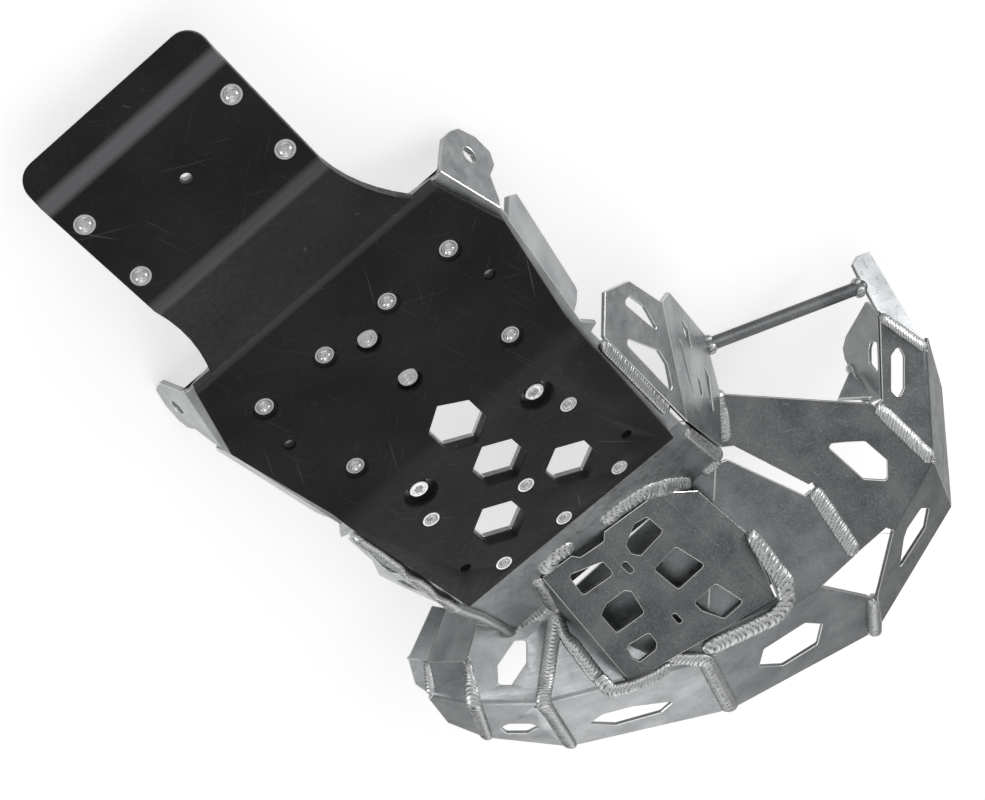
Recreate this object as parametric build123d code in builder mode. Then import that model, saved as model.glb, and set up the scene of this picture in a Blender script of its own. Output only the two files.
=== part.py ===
from build123d import *
from math import acos, cos, radians, sin, tan
import os

os.makedirs("parts", exist_ok=True)

# driving dimensions, in mm; X forward, Y left, Z up, glide face down.
# The origin is midway between the rear pair of plain holes, where the sheet meets the glide plate.
plate_t = 4.0
guard_t = 3.0
glide_t = 8.0
seat_gap = 0.3
weld_gap = 1.6
bead_r = 5.2
wide_bead_r = 8.4
fold_r = 5.0
window_r = 2.5

# profile along the centre line
crease_x = -73.0
drop_angle = 26.8
drop_len = 90.0
tongue_angle = 4.1
tongue_len = 86.0
lip_angle = 20.0
lip_len = 21.0
bend_x = 78.0
front_angle = 9.8
front_len = 139.0
strip_angle = 25.0
strip_len = 101.0

# half widths of the plate and the glide plate
tongue_half = 61.0
tongue_corner_r = 12.0
neck_half = 78.0
neck_sag = 9.0
rear_half = 91.5
wide_x = -22.0
wide_half = 107.0
waist_x = 61.0
waist_half = 95.0
front_half = 89.0
edge_margin = 4.0
base_half = 99.0
tab_x = 87.0
tab_half = 105.5

# screws and holes
screw_r = 3.0
head_r = 5.9
head_h = 3.2
socket_r = 2.0
socket_depth = 2.2
counterbore_r = 7.8
counterbore_depth = 2.6
main_screws_at = [(-31.5, 72.0), (-31.5, 24.5), (45.5, 62.6)]
front_screws_at = [(43.7, 57.4), (126.0, 50.2)]
front_centre_screws = [78.0, 129.7]
tongue_screws_at = [(tongue_len - 21.9, 51.4), (21.3, 51.4)]
nut_flats = 10.0
nut_h = 5.0
plain_hole_r = 3.5
plain_hole_half = 79.0
front_hole_u = 104.2
front_hole_half = 69.2
tongue_hole_u = 45.3
tongue_hole_y = -3.2
centre_bolt_x = [-19.5, 21.0]
centre_recess_r = 8.2
side_bolt_u = 18.0
side_bolt_half = 47.8
side_recess_r = 11.4
bolt_r = 4.0
bolt_head_r = 6.8
bolt_head_h = 4.4
bolt_nut_flats = 13.0
bolt_nut_h = 6.5
recess_depth = 8.0

# hexagon windows of the glide area
window_len = 44.0
window_wide = 32.6
window_flat = 20.0
rear_window_x = 71.5
mid_window_u = 44.0
front_window_u = 91.0
front_window_half = 30.8


def turned(angle):
    """unit direction in the XZ plane, angle up from forward"""
    return Vector(cos(radians(angle)), 0, sin(radians(angle)))


crease = Vector(crease_x, 0, -glide_t)
drop_foot = crease - turned(drop_angle) * drop_len
tongue_end = drop_foot - turned(-tongue_angle) * tongue_len
lip_end = tongue_end - turned(-tongue_angle - lip_angle) * lip_len
front_bend = Vector(bend_x, 0, -glide_t)
glide_front = front_bend + turned(front_angle) * front_len
glide_line = [lip_end, tongue_end, drop_foot, crease, front_bend, glide_front]


def mitred(points, d):
    """the line moved d upward, mitred at its corners"""
    ways = [(q - p).normalized() for p, q in zip(points, points[1:])]
    ups = [Vector(-w.Z, 0, w.X) for w in ways]
    out = [points[0] + ups[0] * d]
    for i in range(1, len(points) - 1):
        mid = (ups[i - 1] + ups[i]).normalized()
        out.append(points[i] + mid * (d / mid.dot(ups[i])))
    out.append(points[-1] + ups[-1] * d)
    return out


def bent_sheet(low, high, half):
    """solid between two XZ lines, half wide each way in Y"""
    with BuildPart() as s:
        with BuildSketch(Plane.XZ):
            with BuildLine():
                Polyline(*[(p.X, p.Z) for p in low + high[::-1]], close=True)
            make_face()
        extrude(amount=half, both=True)
    return s.part


def plan_prism(points, low=-120, high=160):
    """upright prism over a plan outline"""
    with BuildPart() as s:
        with BuildSketch(Plane.XY.offset(low)):
            with BuildLine():
                Polyline(*points, close=True)
            make_face()
        extrude(amount=high - low)
    return s.part


def both_sides(points):
    """the half outline and its mirror image, as one closed ring"""
    return points + [(x, -y) for x, y in points[::-1]]


def spot(region, u, y=0.0, up=0.0):
    """place on the sheet's glide side: u from the region's start, up out of the sheet"""
    start, way = {
        "main": (Vector(0, 0, -glide_t), Vector(1, 0, 0)),
        "front": (front_bend, turned(front_angle)),
        "tongue": (drop_foot, -turned(-tongue_angle)),
    }[region]
    flip = -1 if region == "tongue" else 1
    normal = Vector(-way.Z, 0, way.X) * flip
    at = start + way * u + Vector(0, y, 0) + normal * (glide_t + up)
    return Plane(origin=at, x_dir=way, z_dir=normal)


def drill(plane, r, low, high):
    """cylinder along the plane's normal from low to high"""
    with BuildPart() as s:
        with BuildSketch(plane.offset(low)):
            Circle(r)
        extrude(amount=high - low)
    return s.part


def hexagon_points(length, wide, flat):
    return [(-length / 2, 0), (-flat / 2, wide / 2), (flat / 2, wide / 2),
            (length / 2, 0), (flat / 2, -wide / 2), (-flat / 2, -wide / 2)]


def window(plane, low=-30, high=30):
    with BuildPart() as s:
        with BuildSketch(plane.offset(low)):
            with BuildLine():
                Polyline(*hexagon_points(window_len, window_wide, window_flat), close=True)
            make_face()
        extrude(amount=high - low)
    return s.part


screw_spots = {
    "main": [spot("main", x, s * y) for x, y in main_screws_at for s in (1, -1)],
    "front": [spot("front", u, s * y) for u, y in front_screws_at for s in (1, -1)]
    + [spot("front", u) for u in front_centre_screws],
    "tongue": [spot("tongue", u, s * y) for u, y in tongue_screws_at for s in (1, -1)],
}
centre_bolt_spots = [spot("main", x) for x in centre_bolt_x]
side_bolt_spots = [spot("front", side_bolt_u, s * side_bolt_half) for s in (1, -1)]
plain_hole_spots = [spot("main", 0, s * plain_hole_half) for s in (1, -1)]
plain_hole_spots += [spot("front", front_hole_u, s * front_hole_half) for s in (1, -1)]
plain_hole_spots += [spot("tongue", tongue_hole_u, tongue_hole_y)]
window_spots = [spot("main", rear_window_x), spot("front", mid_window_u)]
window_spots += [spot("front", front_window_u, s * front_window_half) for s in (1, -1)]


def neck_points(inset=0.0):
    """concave flare from the tongue to the crease"""
    x0, y0 = drop_foot.X, tongue_half - inset
    x1, y1 = crease_x, neck_half - inset
    out = []
    for i in range(7):
        k = i / 6
        out.append((x0 + (x1 - x0) * k, y0 + (y1 - y0) * k - neck_sag * 4 * k * (1 - k) * 0.5))
    return out


# glide plate: bent plastic plate with the tongue
with BuildPart() as glide_plate:
    add(bent_sheet(glide_line, mitred(glide_line, glide_t), 130))
    outline = [(lip_end.X - 10, tongue_half)] + neck_points()
    outline += [(crease_x, rear_half), (wide_x, wide_half), (waist_x, waist_half),
                (glide_front.X + 20, front_half)]
    add(plan_prism(both_sides(outline)), mode=Mode.INTERSECT)
    rear_edges = glide_plate.edges().filter_by(
        lambda e: e.center().X < lip_end.X + 4 and abs(e.center().Y) > tongue_half - 1
        and abs(e.length - glide_t) < 1.5)
    fillet(rear_edges, tongue_corner_r)
    for p in screw_spots["main"]:
        add(drill(p, counterbore_r, -glide_t - 1, -glide_t + counterbore_depth), mode=Mode.SUBTRACT)
    for p in window_spots:
        add(window(p), mode=Mode.SUBTRACT)
    for p in centre_bolt_spots:
        add(drill(p, centre_recess_r, -glide_t - 4, 1), mode=Mode.SUBTRACT)
    for p in side_bolt_spots:
        add(drill(p, side_recess_r, -glide_t - 4, 1), mode=Mode.SUBTRACT)
    for p in plain_hole_spots:
        add(drill(p, plain_hole_r, -glide_t - 4, 1), mode=Mode.SUBTRACT)
    for key, deep in (("main", counterbore_depth), ("front", 0.0), ("tongue", 0.0)):
        for p in screw_spots[key]:
            add(drill(p, screw_r + 0.3, -glide_t - 1, 1), mode=Mode.SUBTRACT)
            with BuildPart(p.offset(-glide_t + deep), mode=Mode.PRIVATE) as sink:
                Cone(head_r + 0.3, screw_r + 0.3, head_h, align=(Align.CENTER, Align.CENTER, Align.MIN))
            add(sink.part, mode=Mode.SUBTRACT)
glide_plate.part.label = "glide_plate"

# skid plate: sheet with a bent-up front strip, side flanges and rear ears
mate_line = mitred(glide_line, glide_t)
strip_start = mate_line[-1]
strip_end = strip_start + turned(strip_angle) * strip_len
sheet_rear = spot("tongue", tongue_len - 8).origin
sheet_line = [sheet_rear, mate_line[2], mate_line[3], mate_line[4], strip_start, strip_end]
strip_plane = Plane(origin=strip_start, x_dir=turned(strip_angle),
                    z_dir=Vector(-sin(radians(strip_angle)), 0, cos(radians(strip_angle))))
sheet_side_x = strip_start.X
strip_nose_x = 320.0
strip_nose_y = 64.0
strip_right_x = 304.0
strip_right_y = -80.0
strip_corner_x = 303.0

# rear ears, bent up from the plate's side
ear_rear_x = -72.0
ear_front_x = -26.0
ear_rear_half = 99.0
ear_front_half = 110.0
ear_lean = 24.0
ear_top = 45.0
ear_hole_along = 24.5
ear_hole_up = 28.5
ear_hole_r = 5.2

# side flanges, bent up ahead of the widest corner
flange_rear_x = -16.0
flange_front_x = 77.0
flange_rear_half = 109.0
flange_lean = 25.0
flange_top = 20.5


def side_plane(rear, front, side, lean):
    """plane of a tab bent up from the plate's side: X along the edge, Y up the tab, Z inward"""
    a = Vector(rear[0], side * rear[1], 0)
    b = Vector(front[0], side * front[1], 0)
    way = (b - a).normalized()
    out = Vector(way.Y, -way.X, 0) * (-side)
    up = out * sin(radians(lean)) + Vector(0, 0, cos(radians(lean)))
    normal = way.cross(up)
    return Plane(origin=a, x_dir=way, z_dir=normal), (b - a).length


def rounded(ring):
    """closed outline with its corners rounded, less where a side is short"""
    corners = [Vector(*p) for p in ring]
    turns = []
    for a, b, c in zip(corners[-1:] + corners, corners, corners[1:] + corners[:1]):
        back, ahead = (a - b).normalized(), (c - b).normalized()
        half = acos(back.dot(ahead)) / 2
        reach = min(window_r / tan(half), 0.4 * (a - b).length, 0.4 * (c - b).length)
        r = reach * tan(half)
        middle = b + (back + ahead).normalized() * (r / sin(half) - r)
        turns.append((b + back * reach, middle, b + ahead * reach))
    with BuildSketch() as s:
        with BuildLine():
            for (p, m, q), (onward, _, _) in zip(turns, turns[1:] + turns[:1]):
                ThreePointArc(p, m, q)
                Line(q, onward)
        make_face()
    return s.sketch


def flat_piece(plane, points, t, holes=()):
    """sheet on a plane; its thickness goes along the plane's normal, t signed"""
    cut = [rounded(ring) for ring in holes]
    with BuildPart() as s:
        with BuildSketch(plane):
            with BuildLine():
                Polyline(*points, close=True)
            make_face()
            for face in cut:
                add(face, mode=Mode.SUBTRACT)
        extrude(amount=t)
    return s.part


with BuildPart() as skid_plate:
    add(bent_sheet(sheet_line, mitred(sheet_line, plate_t), 130))
    outline = [(sheet_rear.X - 5, tongue_half - 4)] + neck_points(4.0)
    outline += [(crease_x + 2, rear_half + edge_margin), (ear_rear_x, ear_rear_half),
                (ear_front_x, ear_front_half), (wide_x + 4, ear_front_half),
                (flange_rear_x, flange_rear_half), (flange_front_x, base_half), (tab_x, tab_half),
                (tab_x + 3, base_half), (strip_corner_x, base_half)]
    ring = outline + [(strip_nose_x, strip_nose_y), (strip_right_x, strip_right_y)]
    ring += [(x, -y) for x, y in outline[::-1]]
    add(plan_prism(ring), mode=Mode.INTERSECT)
    for side in (1, -1):
        # ear with a rounded top and one hole
        p, wide = side_plane((ear_rear_x, ear_rear_half), (ear_front_x, ear_front_half), side, ear_lean)
        inward = side * plate_t
        ear = [(0, 0), (4, 30), (9, ear_top - 7), (16, ear_top), (30, ear_top + 2), (42, ear_top - 3),
               (45, ear_top - 12), (41, 22), (wide, 6), (wide, 0)]
        add(flat_piece(p, ear, inward))
        hole = Plane(origin=p.from_local_coords(Vector(ear_hole_along, ear_hole_up, 0)), z_dir=p.z_dir)
        add(drill(hole, ear_hole_r, -9, 9), mode=Mode.SUBTRACT)
        # side flange
        p, wide = side_plane((flange_rear_x, flange_rear_half), (flange_front_x, base_half),
                             side, flange_lean)
        flange = [(0, 0), (-1, flange_top), (7, flange_top + 10), (wide - 9, flange_top + 3),
                  (wide - 6, flange_top + 1), (wide - 6, 11), (wide - 9, 0)]
        add(flat_piece(p, flange, inward))
    for p in window_spots:
        add(window(p), mode=Mode.SUBTRACT)
    for p in centre_bolt_spots + side_bolt_spots:
        add(drill(p, bolt_r + 0.3, -1, plate_t + 1), mode=Mode.SUBTRACT)
    for p in plain_hole_spots:
        add(drill(p, plain_hole_r, -1, plate_t + 1), mode=Mode.SUBTRACT)
    for key in screw_spots:
        for p in screw_spots[key]:
            add(drill(p, screw_r + 0.3, -1, plate_t + 1), mode=Mode.SUBTRACT)
skid_plate.part.label = "skid_plate"


# skeleton of the pipe guard: corners of its outer face, taken round the fold ring and its rims
def at(x, y, z):
    return Vector(x, y, z)


left_end_fold = at(286, 166, 49)
left_fold = at(301, 145, 30)
centre_fold = at(337, 110, 22)
front_fold = at(404, 5, 17)
right_fold = at(419, -93, 16)
side_fold_low = at(421, -159, 16)
side_fold = at(398, -213, 24)
upper_fold = at(346, -260, 63)
left_end_top = at(275, 155, 67)
left_seam_top = at(287, 131, 53)
left_back = at(282, 110, 71)
strip_left = at(303, 96, 63)
centre_back = at(320, 64, 69)
strip_right = at(303, -99, 65)
relief_inner = at(418, -128, 18)
slot_end = at(362, -135, 42)
side_back = at(278, -130, 87)
side_low_back = at(301, -103, 68)
upper_inner = at(344, -207, 50)
upper_low = at(345, -212.8, 49.6)
upper_back = at(307.4, -249.5, 78.6)
left_end_rim = at(270, 166, 49)
left_rim_back = at(333, 180, 64)
left_rim = at(359, 167, 53)
centre_rim = at(420, 130, 50)
front_rim = at(499, 25, 48.5)
right_rim = at(538, -91, 53)
right_relief = at(482, -112, 34)
side_relief = at(479, -117.5, 27)
side_rim_low = at(522, -105.5, 41.5)
side_rim = at(489, -203, 60)
upper_rim = at(419, -254, 95)
upper_rim_top = at(349, -266, 74)
tab_tip = at(293.5, -274, 122.5)

# nose channel corners on its underside
nose_rear_left = at(264, 47.6, 45.5)
nose_rear_right = at(277, -51.5, 51.4)
nose_front_right = at(404, -63, 21)
nose_front_left = at(373, 55, 18)
nose_right_wall = at(353, -78, 43)
nose_wall_rear = at(303, -73, 54)


def facet(a, b, c, inside=at(0, 0, 1)):
    """plane through three corners, X from a to b, normal on the inside"""
    n = (b - a).cross(c - a).normalized()
    if n.dot(inside) < 0:
        n = -n
    return Plane(origin=a, x_dir=(b - a).normalized(), z_dir=n)


def on_facet(plane, corners):
    """corners dropped square onto the plane, in its own X and Y"""
    local = [plane.to_local_coords(c) for c in corners]
    return [(p.X, p.Y) for p in local]


def panel(plane, corners, t, holes=()):
    return flat_piece(plane, on_facet(plane, corners), t, holes)


def seam_slot(points, up, wide=weld_gap, deep=9.0):
    """thin slabs along a seam that part two panels for the weld"""
    with BuildPart() as s:
        for p, q in zip(points, points[1:]):
            way = (q - p).normalized()
            across = way.cross(up).normalized()
            with BuildPart(Plane(origin=(p + q) * 0.5, x_dir=way, z_dir=across.cross(way)), mode=Mode.PRIVATE) as b:
                Box((q - p).length + 6, 2 * wide, 2 * deep)
            add(b.part)
    return s.part


def fold_shave(p, q, plane_a, plane_b):
    """sliver taken off the outer corner of a fold from p to q, to leave it round"""
    half = radians(plane_a.z_dir.get_angle(plane_b.z_dir)) / 2
    way = (q - p).normalized()
    inward = (plane_a.z_dir + plane_b.z_dir).normalized()
    centre = fold_r / cos(half)
    touch = (centre - fold_r * cos(half), fold_r * sin(half))
    with BuildPart() as s:
        with BuildSketch(Plane(origin=p - way * 2, x_dir=inward, z_dir=way)):
            with BuildLine():
                Polyline(touch, (-2, 0), (touch[0], -touch[1]), close=True)
            make_face()
            with Locations((centre, 0)):
                Circle(fold_r, mode=Mode.SUBTRACT)
        extrude(amount=(q - p).length + 4)
    return s.part


def rod(points, r):
    """round rod through the points, with ball corners and ends"""
    with BuildPart() as s:
        for p, q in zip(points, points[1:]):
            with BuildSketch(Plane(origin=p, z_dir=(q - p).normalized())):
                Circle(r)
            extrude(amount=(q - p).length)
        for p in points:
            with Locations(p):
                Sphere(r)
    return s.part


def largest(part):
    return sorted(part.solids(), key=lambda q: q.volume)[-1]


def weld(points, near, r=bead_r, room=None):
    """weld bead along the points, kept out of a room and cut back to the faces of the pieces it joins"""
    with BuildPart() as s:
        add(rod(points, r))
        if room is not None:
            add(room, mode=Mode.SUBTRACT)
        for other in near:
            add(other.part, mode=Mode.SUBTRACT)
    return largest(s.part)


def on_strip(x, y, into=0.0):
    """point on the strip's glide side, or a distance into the sheet"""
    along = (x - strip_start.X) / cos(radians(strip_angle))
    return strip_plane.from_local_coords(Vector(along, 0, into)) + Vector(0, y, 0)


def over_strip(gap):
    """room taken by the strip and all above it, a gap larger on the glide side"""
    front = plan_prism([(strip_start.X - 60, -120), (strip_start.X - 60, 120), (strip_corner_x, 120),
                        (strip_nose_x, strip_nose_y), (strip_right_x, strip_right_y), (strip_right_x, -120)])
    with BuildPart() as s:
        with BuildPart(strip_plane.offset(-gap), mode=Mode.PRIVATE) as half:
            Box(400, 400, 60, align=(Align.CENTER, Align.CENTER, Align.MIN))
        add(half.part)
        add(front, mode=Mode.INTERSECT)
    return s.part


nose_plane = facet(nose_rear_left, nose_rear_right, nose_front_right)
left_front_plane = facet(left_fold, centre_fold, strip_left)
centre_plane = facet(centre_fold, front_fold, centre_back)
right_front_plane = facet(front_fold, right_fold, strip_right)
side_base_plane = facet(side_fold_low, side_fold, side_back)
upper_plane = facet(side_fold, upper_fold, upper_inner)
left_side_plane = facet(left_fold, left_end_fold, left_seam_top)
left_front_wall = facet(left_fold, centre_fold, left_rim)
centre_wall = facet(centre_fold, front_fold, centre_rim)
right_front_wall = facet(front_fold, right_fold, front_rim)
side_wall = facet(side_fold_low, side_fold, side_rim)
upper_wall = facet(side_fold, upper_fold, upper_rim)
left_side_wall = facet(left_fold, left_end_fold, left_rim_back)
up = at(0, 0, 1)

# nose channel: window plate with two sloping sides, lying on the front strip
nose_windows = [
    [(61.1, 18.9), (74.4, 9.4), (84.4, 10.8), (87.9, 27.7), (65, 32.6), (60.5, 27)],
    [(15.8, 11.1), (40.8, 18.7), (42.1, 31.6), (15.8, 31)],
    [(49.5, 29.2), (54.2, 29), (55.3, 39.6), (51.3, 39.6)],
    [(67, 48.2), (88.7, 43.9), (98, 70.2), (72.6, 73.3)],
    [(25.4, 48.1), (41.2, 48), (44.5, 51.9), (43.2, 72.4), (18.8, 72.1), (17.6, 52.7)],
    [(76, 90.2), (96.6, 87.9), (105.4, 114.2), (87.3, 116), (77.6, 99.6)],
    [(57.6, 87.1), (61.1, 87.8), (61.9, 97), (58.4, 97)],
    [(18.8, 86), (37.3, 88), (37.5, 98.7), (34, 102.6), (19.8, 103.1), (17.4, 97.5)],
]
# dark opening left beside the rear beads
nose_notch = [(26, -3), (26, 0), (30, 5), (50, 6), (54, 0), (54, -3)]
with BuildPart() as nose_plate:
    add(panel(nose_plane, [nose_rear_left, nose_rear_right, nose_front_right, nose_front_left],
              guard_t, nose_windows + [nose_notch]))
    right_side = facet(nose_rear_right, nose_front_right, nose_right_wall)
    add(panel(right_side, [nose_rear_right, nose_front_right, nose_right_wall, nose_wall_rear], guard_t))
    left_wall = facet(nose_rear_left, nose_front_left, centre_back)
    add(panel(left_wall, [nose_rear_left, nose_front_left, centre_back, centre_back + at(-14, 0, -6)], guard_t))
    add(fold_shave(nose_rear_left, nose_front_left, nose_plane, left_wall), mode=Mode.SUBTRACT)
    add(fold_shave(nose_rear_right, nose_front_right, nose_plane, right_side), mode=Mode.SUBTRACT)
    # the channel's rear is cut to lie on the strip's glide side
    add(over_strip(seat_gap), mode=Mode.SUBTRACT)
nose_plate.part.label = "nose_plate"

# seams between neighbouring panels, each along both the base and the wall
seam_left_end = [left_end_top, left_end_fold]
seam_left = [left_seam_top, left_fold, left_rim]
seam_centre = [centre_back, centre_fold, centre_rim]
seam_front = [at(382, 30, 27), front_fold, front_rim]
seam_right = [slot_end, relief_inner]
seam_upper = [upper_inner, side_fold]
butt_upper = [side_fold, side_rim]
seam_tab = [upper_back, upper_fold]


def folded(base_plane, base, wall_plane, wall, seams, base_holes=(), wall_holes=(), cutters=(),
           butts=(), backing=()):
    """base and wall of one panel, folded between the wall's first two corners and parted at the seams"""
    with BuildPart() as s:
        add(panel(base_plane, base, guard_t, base_holes))
        add(panel(wall_plane, wall, guard_t, wall_holes))
        add(fold_shave(wall[0], wall[1], base_plane, wall_plane), mode=Mode.SUBTRACT)
        for more in backing:
            add(more)
        for seam in seams:
            add(seam_slot(seam, up), mode=Mode.SUBTRACT)
        for seam in butts:
            add(seam_slot(seam, up, seat_gap / 2), mode=Mode.SUBTRACT)
        for c in cutters:
            add(c, mode=Mode.SUBTRACT)
    return largest(s.part)


# left side panel, beside the open left window
with BuildPart() as left_side_panel:
    add(folded(left_side_plane, [left_fold, left_seam_top, left_end_top, left_end_fold],
               left_side_wall, [left_fold, left_end_fold, left_end_rim, left_rim_back, left_rim],
               [seam_left, seam_left_end]))
left_side_panel.part.label = "left_side_panel"

# left front panel
with BuildPart() as left_front_panel:
    add(folded(left_front_plane, [left_fold, centre_fold, centre_back, strip_left, left_back, left_seam_top],
               left_front_wall, [left_fold, centre_fold, centre_rim, left_rim],
               [seam_left, seam_centre],
               [[(18.9, -27.4), (31.9, -45.1), (40.9, -45.8), (40.3, -29.6), (28.8, -13.4), (19.1, -13.3)]],
               [[(29, 44.5), (34, 37), (50, 37), (59, 42.5), (52, 55), (37, 55)]],
               [skid_plate.part]))
left_front_panel.part.label = "left_front_panel"

# centre panel, under the front of the nose
nose_room = plan_prism([(200, 52), (nose_front_left.X + 1, nose_front_left.Y + 1),
                        (nose_front_right.X + 1, nose_front_right.Y - 1), (nose_right_wall.X, -81),
                        (303, -77), (200, -77)])
with BuildPart() as nose_body:
    with BuildPart(nose_plane.offset(guard_t + 1), mode=Mode.PRIVATE) as under:
        Box(500, 500, 200, align=(Align.CENTER, Align.CENTER, Align.MAX))
    add(nose_room)
    add(under.part, mode=Mode.INTERSECT)
nose_room = nose_body.part
with BuildPart() as centre_panel:
    add(folded(centre_plane, [centre_fold, front_fold, at(382, 30, 27), centre_back],
               centre_wall, [centre_fold, front_fold, front_rim, centre_rim],
               [seam_centre, seam_front], (),
               [[(39, 55), (49, 45), (72, 45), (106, 55), (97, 69), (62, 70)]],
               [nose_room]))
centre_panel.part.label = "centre_panel"

# right front panel; its rear facet runs on behind the nose to the strip's front edge
rear_corner = at(strip_right_x, strip_right_y - 14, 65)
with BuildPart() as right_front_panel:
    behind = facet(front_fold, rear_corner, on_strip(strip_nose_x, strip_nose_y))
    backing = panel(behind, [front_fold, rear_corner, on_strip(strip_right_x - 2, strip_right_y),
                             on_strip(strip_nose_x - 2, strip_nose_y), at(352, 57, 52), at(374, 46, 38)], guard_t)
    add(folded(right_front_plane,
               [front_fold, right_fold, relief_inner, slot_end, at(362, -127, 42), at(307, -102, 64), rear_corner],
               right_front_wall, [front_fold, right_fold, right_relief, right_rim, front_rim],
               [seam_front, seam_right], (),
               [[(30, 62), (40, 39), (76, 39), (87, 58), (76, 86), (46, 85)]],
               [nose_room, skid_plate.part, nose_plate.part, centre_panel.part], (), [backing]))
right_front_panel.part.label = "right_front_panel"

# right side panel, the largest facet
with BuildPart() as right_side_panel:
    add(folded(side_base_plane,
               [side_fold_low, side_fold, upper_inner, side_back, side_low_back, at(306, -111, 66),
                slot_end, relief_inner, at(416, -156, 18)],
               side_wall, [side_fold_low, side_fold, side_rim, side_rim_low, side_relief],
               [seam_right, seam_upper],
               [[(36.5, -75.5), (44.2, -62.7), (50.6, -50.8), (44.8, -29.9), (31.7, -22.4), (25.4, -38.4)]],
               [[(18.5, 29), (18, 46), (0.6, 61.4), (-35, 55), (-7, 28.6), (1.5, 24.2)]], (), [butt_upper]))
right_side_panel.part.label = "right_side_panel"

# right upper panel
with BuildPart() as right_upper_panel:
    add(folded(upper_plane, [side_fold, upper_fold, upper_back, upper_low, upper_inner],
               upper_wall, [side_fold, upper_fold, upper_rim_top, upper_rim, side_rim],
               [seam_upper, seam_tab],
               [[(77.6, -26.9), (84.2, -21.1), (76, -17.5), (53.4, -19), (46.9, -22.8), (52.9, -28.5)]],
               (), (), [butt_upper]))
right_upper_panel.part.label = "right_upper_panel"

# top tab above the upper panel
with BuildPart(mode=Mode.PRIVATE) as tab_sheet:
    tab_plane = facet(upper_back, upper_fold, tab_tip)
    add(panel(tab_plane, [upper_back, upper_fold, tab_tip, at(285, -264, 118), at(282, -258, 111),
                          at(287, -256, 104)], guard_t))
    add(seam_slot(seam_tab, up, weld_gap, 4), mode=Mode.SUBTRACT)
    add(right_upper_panel.part, mode=Mode.SUBTRACT)
with BuildPart() as top_tab:
    add(largest(tab_sheet.part))
top_tab.part.label = "top_tab"

# inner wing on the upper panel's inner edge, and the small gusset under it
wing_top = at(335, -211, 96.4)
with BuildPart() as right_inner_wing:
    wing_plane = facet(upper_low, upper_back, wing_top, at(-1, 1, 0))
    wing = [upper_low + at(0.3, 0.5, 3), upper_back + at(0.5, 0.5, 3), at(304.7, -248.6, 96.4),
            at(324.3, -221.9, 103.1), at(330.3, -214.8, 101.8), wing_top, at(349.7, -203.4, 61.2)]
    slot = [(41.4, 4.8), (40.6, 10.8), (36.3, 13), (25.5, 13.4), (17.9, 4.6)]
    add(panel(wing_plane, wing, -guard_t, [slot]))
    add(top_tab.part, mode=Mode.SUBTRACT)
    add(right_upper_panel.part, mode=Mode.SUBTRACT)
    add(right_side_panel.part, mode=Mode.SUBTRACT)
right_inner_wing.part.label = "right_inner_wing"

with BuildPart() as right_gusset:
    gusset_low = at(327, -187, 56)
    gusset_plane = facet(upper_inner, gusset_low, wing_top, at(-1, 1, 0))
    add(panel(gusset_plane, [upper_inner + at(0, 1, 5), gusset_low + at(0, 0, 3.5), wing_top - at(1, -3, 14)], guard_t))
    add(right_side_panel.part, mode=Mode.SUBTRACT)
    add(right_inner_wing.part, mode=Mode.SUBTRACT)
right_gusset.part.label = "right_gusset"

# left end panel and the wing behind the open window
with BuildPart() as left_end_panel:
    end_plane = facet(left_end_top, left_end_fold, at(269, 163, 70))
    add(panel(end_plane, [left_end_top, left_end_fold, at(272, 168, 54), at(266, 163, 72)], guard_t))
    end_upper = facet(left_end_top, at(266, 163, 72), at(268, 124, 93))
    add(panel(end_upper, [left_end_top, at(266, 163, 72), at(262, 128, 95), at(270, 122, 92)], guard_t))
    add(left_side_panel.part, mode=Mode.SUBTRACT)
left_end_panel.part.label = "left_end_panel"

with BuildPart() as left_inner_wing:
    back_plane = facet(left_end_top, at(270, 122, 92), at(335, 104, 125))
    add(panel(back_plane, [left_end_top, at(270, 122, 92), at(335, 104, 125), at(338, 150, 106)], guard_t))
    add(left_side_panel.part, mode=Mode.SUBTRACT)
    add(left_end_panel.part, mode=Mode.SUBTRACT)
left_inner_wing.part.label = "left_inner_wing"

# side brackets: two faces with cut-outs, standing on the plate's side edge
bracket_rear = at(100, -100, 4)
bracket_fold = at(216, -100.5, 22.5)
bracket_fold_top = at(146, -140, 52)
with BuildPart() as right_bracket:
    rear_face = facet(bracket_rear, bracket_fold, bracket_fold_top, at(0, -1, 0))
    outline = [(0, 1), (-11, 27), (12, 48), (54, 56), (118, 1)]
    holes = [[(12, 32), (16, 40), (36, 43), (59, 37), (45, 35)], [(13, 10), (64, 26), (78, 23), (93, 9)]]
    add(flat_piece(rear_face, outline, guard_t, holes))
    front_face = facet(bracket_fold, strip_right + at(0, -4, 0), at(283, -124, 88), at(0, -1, 0))
    outline = [(0, 1), (-49, 70), (-34, 81), (47, 74), (78, 42), (80, 2)]
    holes = [[(-8, 71), (7, 67), (17, 51), (-2, 62)], [(-16, 56), (-8, 52), (25, 15), (4, 33)],
             [(40, 53), (54, 46), (64, 18), (53, 32)], [(23, 42), (33, 37), (39, 26), (31, 29)]]
    add(flat_piece(front_face, outline, guard_t, holes))
    add(skid_plate.part, mode=Mode.SUBTRACT)
right_bracket.part.label = "right_bracket"

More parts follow.
